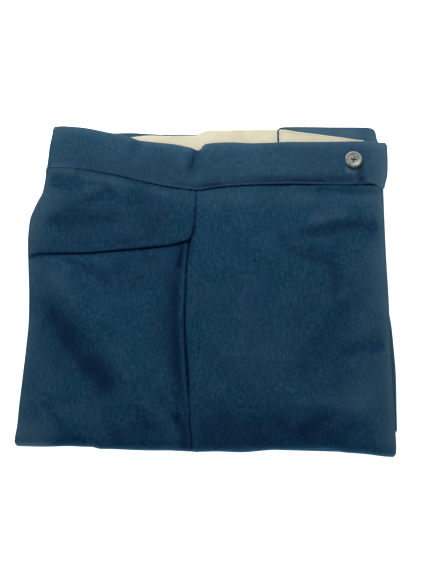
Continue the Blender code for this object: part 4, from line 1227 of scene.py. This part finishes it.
# x of the tab's columns, which lie close together round its two corners
tab_corner = (187.2, 186, 185.4, 184.8, 184.2, 183.6, 182.4, 181, 179, 176, 172, 168)
tab_end = (82, 80.2, 78.8, 77.9, 77.3, 77.0)
tab_places = np.concatenate((tab_corner, np.linspace(165, 84, 28), tab_end)) * MM
tab_y = tab_low(tab_places) + (tab_top(tab_places) - tab_low(tab_places)) * up[:, [-1]]
tab_x = np.broadcast_to(tab_places, tab_y.shape)
tab_z = np.full(tab_y.shape, TAB_FOOT)
band_points = np.stack(
    [
        np.concatenate(parts, axis=1)
        for parts in (
            (roll_x, band_x, turn_x, tab_x),
            (roll_y, band_y, turn_y, tab_y),
            (roll_z, band_z, turn_z, tab_z),
        )
    ],
    axis=2,
)
# How much paler the band is painted as a highlight at its top, left and right edges, and how far in
# millimetres
TOP_HIGHLIGHT, LEFT_END_HIGHLIGHT, RIGHT_END_HIGHLIGHT = ((0.44, 4),), ((0.16, 10),), ((0.68, 13),)
# x along the tab, how much painted light it gets
TAB_PAINTED_LIGHT = ((77, 1.0), (84, 1.25), (100, 1.42), (158, 1.38), (172, 1.18), (188, 1.55))
band_painted_shading = strokes(BAND_PAINTED_SHADE, band_x, band_y)
# painted shade along the waist seam
band_painted_shading = band_painted_shading + 0.8 * waist_shade(band_x) * seam_shade(band_y - waist_seam(band_x), 0.7)
band_painted_shading = band_painted_shading - edge_highlight(TOP_HIGHLIGHT, band_top(band_x) - band_y)
band_painted_shading = band_painted_shading - edge_highlight(LEFT_END_HIGHLIGHT, band_x - band_left(band_y))
band_painted_shading = band_painted_shading - edge_highlight(RIGHT_END_HIGHLIGHT, band_right(band_y) - band_x)
turned = (len(LIP_TURNS), len(LIP_TURNS))
band_painted_level = np.pad(1 - band_painted_shading, ((0, 0), turned), mode="edge")
tab_light_places, tab_light_levels = np.array(TAB_PAINTED_LIGHT).T
tab_painted_level = np.interp(tab_places, tab_light_places * MM, tab_light_levels)
band_painted_level = np.hstack((band_painted_level, np.broadcast_to(tab_painted_level, tab_y.shape)))
# the waistband's wool gets a painted sheen all over
band_wool = cloth_piece(
    "right_waistband_wool",
    band_points,
    BAND,
    wool("waistband wool", ON_CLOTH, painted_highlight=0.11),
    nap=band_painted_level,
)
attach(band_wool, "root")
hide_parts("right_waistband")

# The tab's lining
#
# Cream drill sewn on the tab's inner face, which lies upwards. Its top edge slopes away from the
# tab's, and a row of stitches runs inside its edges.

# x, top edge, lower edge
TAB_LINING = (
    (78.4, 172.0, 134.0), (79.0, 174.0, 132.4), (80.8, 175.4, 131.4), (98.0, 172.9, 131.0),
    (113.0, 170.9, 131.0), (145.0, 166.4, 131.0), (174.0, 162.6, 131.0),
)
tab_lining_top = curve_through(TAB_LINING, 0, 1)
tab_lining_low = curve_through(TAB_LINING, 0, 2)
TAB_LINING_LEFT, TAB_LINING_RIGHT = 78.9 * MM, 171 * MM
tab_lining_rows, tab_lining_columns = Spacing(8), Spacing(36)
tab_lining_x, tab_lining_y = woven(
    tab_lining_rows,
    tab_lining_columns,
    tab_lining_top,
    tab_lining_low,
    level(TAB_LINING_LEFT),
    level(TAB_LINING_RIGHT),
)
tab_lining_z = TAB_LINING_FOOT + LINING - rounded(tab_lining_rows.from_start[:, None], CUT_EDGE)
tab_lining_z = np.broadcast_to(tab_lining_z, tab_lining_x.shape)
# painted shade: the tab's drill is a little darker than the left band's
tab_drill = cloth_piece(
    "tab_drill",
    np.stack((tab_lining_x, tab_lining_y, tab_lining_z), axis=2),
    LINING,
    drill("tab drill", ON_CLOTH, painted_shading=0.95),
)
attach(tab_drill, "root")
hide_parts("tab_lining")

# The stitches
#
# A row of pale thread holds the pocket's facing and ends in a bar tack at its foot, and the tab's
# lining is sewn down inside its edges. Each stitch is a short waxed thread lying on the cloth.

# x and y along the pocket's row
POCKET_ROW = (
    (-9.3, 56.1), (-10.2, 38.0), (-11.4, 22.1), (-12.6, -7.4), (-12.7, -32.2), (-11.9, -60.0),
    (-10.6, -79.2), (-9.4, -103.5), (-8.9, -125.4), (-9.2, -140.6), (-10.6, -142.0),
    (-15.6, -142.4),
)
POCKET_THREAD_UP, TAB_THREAD_UP = 0.15 * MM, 0.05 * MM  # from the cloth to a stitch's middle


def stitch_nodes():
    """Stitches of a set pitch, length and thickness along an object's edges."""
    group = bpy.data.node_groups.new("stitches along a line", "GeometryNodeTree")
    face = group.interface
    face.new_socket("Line", in_out="INPUT", socket_type="NodeSocketGeometry")
    for socket in ("Pitch", "Length", "Radius"):
        face.new_socket(socket, in_out="INPUT", socket_type="NodeSocketFloat")
    face.new_socket("Thread", in_out="INPUT", socket_type="NodeSocketMaterial")
    face.new_socket("Stitches", in_out="OUTPUT", socket_type="NodeSocketGeometry")
    made = {}

    def node(name, kind, settings=None, links=None):
        """A node: its settings first, then its sockets' links, each a node's name and an output."""
        made[name] = group.nodes.new(kind)
        for key, setting in (settings or {}).items():
            setattr(made[name], key, setting)
        for socket, (source, output) in (links or {}).items():
            group.links.new(made[source].outputs[output], made[name].inputs[socket])
        return made[name].inputs

    node("in", "NodeGroupInput")
    node("curve", "GeometryNodeMeshToCurve", None, {"Mesh": ("in", "Line")})
    node(
        "places",
        "GeometryNodeCurveToPoints",
        {"mode": "LENGTH"},
        {"Curve": ("curve", "Curve"), "Length": ("in", "Pitch")},
    )
    uneven = node("uneven", "FunctionNodeRandomValue", {"data_type": "FLOAT"})
    uneven[2].default_value, uneven[3].default_value = 0.8, 1.1
    uneven["Seed"].default_value = 11
    rod = node(
        "rod",
        "GeometryNodeMeshCylinder",
        None,
        {"Radius": ("in", "Radius"), "Depth": ("in", "Length")},
    )
    rod["Vertices"].default_value, rod["Side Segments"].default_value = 8, 2
    node(
        "put",
        "GeometryNodeInstanceOnPoints",
        None,
        {
            "Points": ("places", "Points"),
            "Instance": ("rod", "Mesh"),
            "Rotation": ("places", "Rotation"),
            "Scale": ("uneven", 1),
        },
    )
    node("real", "GeometryNodeRealizeInstances", None, {"Geometry": ("put", "Instances")})
    node(
        "dyed",
        "GeometryNodeSetMaterial",
        None,
        {"Geometry": ("real", "Geometry"), "Material": ("in", "Thread")},
    )
    node("out", "NodeGroupOutput", None, {"Stitches": ("dyed", "Geometry")})
    return group


STITCHES = stitch_nodes()


def finished_mesh(name, body):
    """A plain mesh of a body with its modifiers carried out."""
    seen = bpy.context.evaluated_depsgraph_get()
    mesh = bpy.data.meshes.new_from_object(body.evaluated_get(seen), depsgraph=seen)
    mesh.name = name
    return mesh


def stitches(name, points, pitch, length, radius, thread):
    """A row of stitches through points, as one finished object."""
    mesh = bpy.data.meshes.new(name)
    steps = [(i, i + 1) for i in range(len(points) - 1)]
    mesh.from_pydata([tuple(point) for point in points], steps, [])
    line = put(name + "_line", mesh)
    row = line.modifiers.new("row", "NODES")
    row.node_group = STITCHES
    sockets = {item.name: item.identifier for item in STITCHES.interface.items_tree}
    sizes = {"Pitch": pitch, "Length": length, "Radius": radius, "Thread": thread}
    for socket, value in sizes.items():
        row[sockets[socket]] = value
    sewn_mesh = finished_mesh(name, line)
    sewn_mesh.shade_smooth()
    bpy.data.objects.remove(line)
    return put(name, sewn_mesh)


def thread_finish(name, color):
    finish = Finish(name, Roughness=0.6, Specular_IOR_Level=0.3)
    place = finish.node(*IN_SPACE)
    fuzz = finish.noise(place, 1500, 2.0)
    dyed = finish.blend(finish.levels(fuzz, 0.35, 0.65), [c * 0.75 for c in color], color)
    return finish.paint(Base_Color=dyed, Normal=finish.bump(fuzz, 0.4, 0.0001))


def along(table, step):
    """Places at an even step along a table's line of x and y, in metres."""
    corners = np.array(table) * MM
    far = np.concatenate(((0,), np.cumsum(np.linalg.norm(np.diff(corners, axis=0), axis=1))))
    places = np.linspace(0, far[-1], int(far[-1] / step) + 2)
    return np.interp(places, far, corners[:, 0]), np.interp(places, far, corners[:, 1])


row_x, row_y = along(POCKET_ROW, 2 * MM)
row_z = hip_height(row_x, row_y) - stitch_groove(row_x, row_y) + POCKET_THREAD_UP
pocket_row = stitches(
    "pocket_stitches",
    np.stack((row_x, row_y, row_z), axis=1),
    pitch=3.7 * MM,
    length=1.3 * MM,
    radius=0.21 * MM,
    thread=thread_finish("pale blue thread", (0.050, 0.112, 0.160)),
)
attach(pocket_row, "root")

# x and y of the row inside the edges of the tab's lining
TAB_ROW = (
    (81.0, 161.5), (81.0, 172.0), (82.6, 173.2), (98.0, 171.1), (145.0, 164.8), (162.0, 162.6),
)
tab_row_x, tab_row_y = along(TAB_ROW, 2 * MM)
tab_row_z = np.full(tab_row_x.shape, TAB_LINING_FOOT + LINING + TAB_THREAD_UP)
tab_row = stitches(
    "tab_stitches",
    np.stack((tab_row_x, tab_row_y, tab_row_z), axis=1),
    pitch=2.6 * MM,
    length=1.9 * MM,
    radius=0.16 * MM,
    thread=thread_finish("cream thread", (0.40, 0.36, 0.25)),
)
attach(tab_row, "root")

# The button
#
# A grey horn button of four holes, turned on a lathe with a raised rim and a dished middle.
BUTTON_X, BUTTON_Y, BUTTON_RADIUS = 158.6 * MM, 138.6 * MM, 9.3 * MM
HOLE_AWAY, HOLE_RADIUS, BUTTON_TURN = 2.6 * MM, 0.9 * MM, math.radians(32)
# Distance from the middle and height above the button's foot, from the top's middle outwards
BUTTON_PROFILE = (
    (0.0, 2.35), (3.2, 2.35), (4.8, 2.38), (5.8, 2.48), (6.6, 2.68), (7.1, 2.86), (7.7, 2.98),
    (8.3, 2.92), (8.8, 2.66), (9.2, 2.20), (9.3, 1.70), (9.1, 1.20), (8.5, 0.72), (7.1, 0.28),
    (4.6, 0.04), (0.0, 0.0),
)
# The button stands just clear of the highest cloth under its rim
under_rim = np.linspace(0, 2 * math.pi, 16, endpoint=False)
rim_x, rim_y = BUTTON_X + BUTTON_RADIUS * np.cos(under_rim), BUTTON_Y + BUTTON_RADIUS * np.sin(under_rim)
BUTTON_FOOT = SEAM + float(np.max(band_height(rim_x, rim_y)))


def lathe(name, profile, segments):
    """A solid of revolution from a profile of radius and height in millimetres."""
    shape = bmesh.new()
    rings = []
    for radius, height in profile:
        if radius == 0:
            rings.append([shape.verts.new((0, 0, height * MM))])
            continue
        r, z = radius * MM, height * MM
        turns = np.linspace(0, 2 * math.pi, segments, endpoint=False)
        rings.append([shape.verts.new((r * math.cos(t), r * math.sin(t), z)) for t in turns])
    for inner, outer in zip(rings, rings[1:]):
        for i in range(segments):
            places = ((inner, i), (outer, i), (outer, i + 1), (inner, i + 1))
            around = [ring[j % segments % len(ring)] for ring, j in places]
            shape.faces.new(list(dict.fromkeys(around)))
    bmesh.ops.recalc_face_normals(shape, faces=shape.faces)
    mesh = bpy.data.meshes.new(name)
    shape.to_mesh(mesh)
    shape.free()
    return put(name, mesh)


HORN_DARK = (0.105, 0.112, 0.105)
HORN_PALE = (0.235, 0.232, 0.195)
HORN_STREAK = (0.060, 0.066, 0.064)


def horn():
    """Polished grey horn with pale and dark clouds and fine streaks."""
    finish = Finish("grey horn", Roughness=0.38, Specular_IOR_Level=0.5)
    place = finish.node(*IN_SPACE)
    clouds = finish.noise(place, 210, 3.0, 0.55)
    streaks = finish.noise(finish.stretched(place, (1.0, 0.25, 1.0)), 900, 2.0)
    color = finish.blend(finish.levels(clouds, 0.36, 0.62), HORN_DARK, HORN_PALE)
    color = finish.blend(finish.levels(streaks, 0.5, 0.75) * 0.5, color, HORN_STREAK)
    wear = finish.levels(clouds + streaks * 0.5, 0.5, 1.0)
    roughness = finish.node("ShaderNodeMapRange", None, {"Value": wear, "To Min": 0.30, "To Max": 0.48})
    return finish.paint(Base_Color=color, Roughness=roughness, Normal=finish.bump(streaks, 0.12, 0.0001))


button = lathe("horn_button", BUTTON_PROFILE, 64)
hole = HOLE_RADIUS / MM
drills = lathe("hole_drills", ((0.0, 4.0), (hole, 4.0), (hole, -1.0), (0.0, -1.0)), 24)
one_drill = drills.data.copy()
shape = bmesh.new()
for quarter in range(4):
    turn = BUTTON_TURN + math.pi / 4 + quarter * math.pi / 2
    before = len(shape.verts)
    shape.from_mesh(one_drill)
    shape.verts.ensure_lookup_table()
    for vertex in shape.verts[before:]:
        vertex.co += Vector((math.cos(turn), math.sin(turn), 0)) * HOLE_AWAY
shape.to_mesh(drills.data)
shape.free()
holes = button.modifiers.new("holes", "BOOLEAN")
holes.object, holes.solver = drills, "EXACT"
drilled = finished_mesh("horn_button", button)
button.modifiers.remove(holes)
bpy.data.objects.remove(drills)
button.data = drilled
for vertex in drilled.vertices:
    vertex.co += Vector((BUTTON_X, BUTTON_Y, BUTTON_FOOT))
drilled.shade_smooth()
drilled.set_sharp_from_angle(angle=math.radians(38))
drilled.materials.clear()
drilled.materials.append(horn())
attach(button, "root")
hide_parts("button")

# The button's thread
#
# Four turns of navy thread cross in the dished middle and go down through the holes.
THREAD, STRANDS_APART = 0.24 * MM, 0.26 * MM
DISH_FLOOR = BUTTON_PROFILE[0][1] * MM
LOWER_RISE, UPPER_RISE = 0.27 * MM, 0.57 * MM  # of a crossing over the dished middle
crossings = []
for pair, rise in enumerate((LOWER_RISE, UPPER_RISE)):
    turn = BUTTON_TURN + math.pi / 4 + pair * math.pi / 2
    run = Vector((math.cos(turn), math.sin(turn), 0))
    for strand in (-1, 1):
        aside = Vector((-math.sin(turn), math.cos(turn), 0)) * strand * STRANDS_APART
        middle = Vector((BUTTON_X, BUTTON_Y, BUTTON_FOOT + DISH_FLOOR)) + aside
        crossings.append([
            middle + run * along_run * HOLE_AWAY + Vector((0, 0, up_run))
            for along_run, up_run in (
                (-1.05, -2.4 * MM), (-1.0, -0.3 * MM), (-0.8, rise * 0.7), (-0.4, rise),
                (0.0, rise * 1.1), (0.4, rise), (0.8, rise * 0.7), (1.0, -0.3 * MM), (1.05, -2.4 * MM),
            )
        ])
cords = bpy.data.curves.new("button_thread", "CURVE")
cords.dimensions, cords.bevel_depth, cords.bevel_resolution = "3D", THREAD, 2
cords.resolution_u = 4
for crossing in crossings:
    spline = cords.splines.new("NURBS")
    spline.points.add(len(crossing) - 1)
    for point, place in zip(spline.points, crossing):
        point.co = (*place, 1)
    spline.use_endpoint_u, spline.order_u = True, 3
cord = put("button_cord", cords)
cord_mesh = finished_mesh("button_thread", cord)
bpy.data.objects.remove(cord)
cord_mesh.shade_smooth()
cord_mesh.materials.clear()
cord_mesh.materials.append(thread_finish("navy thread", (0.030, 0.036, 0.062)))
button_thread = put("button_thread", cord_mesh)
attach(button_thread, "root")
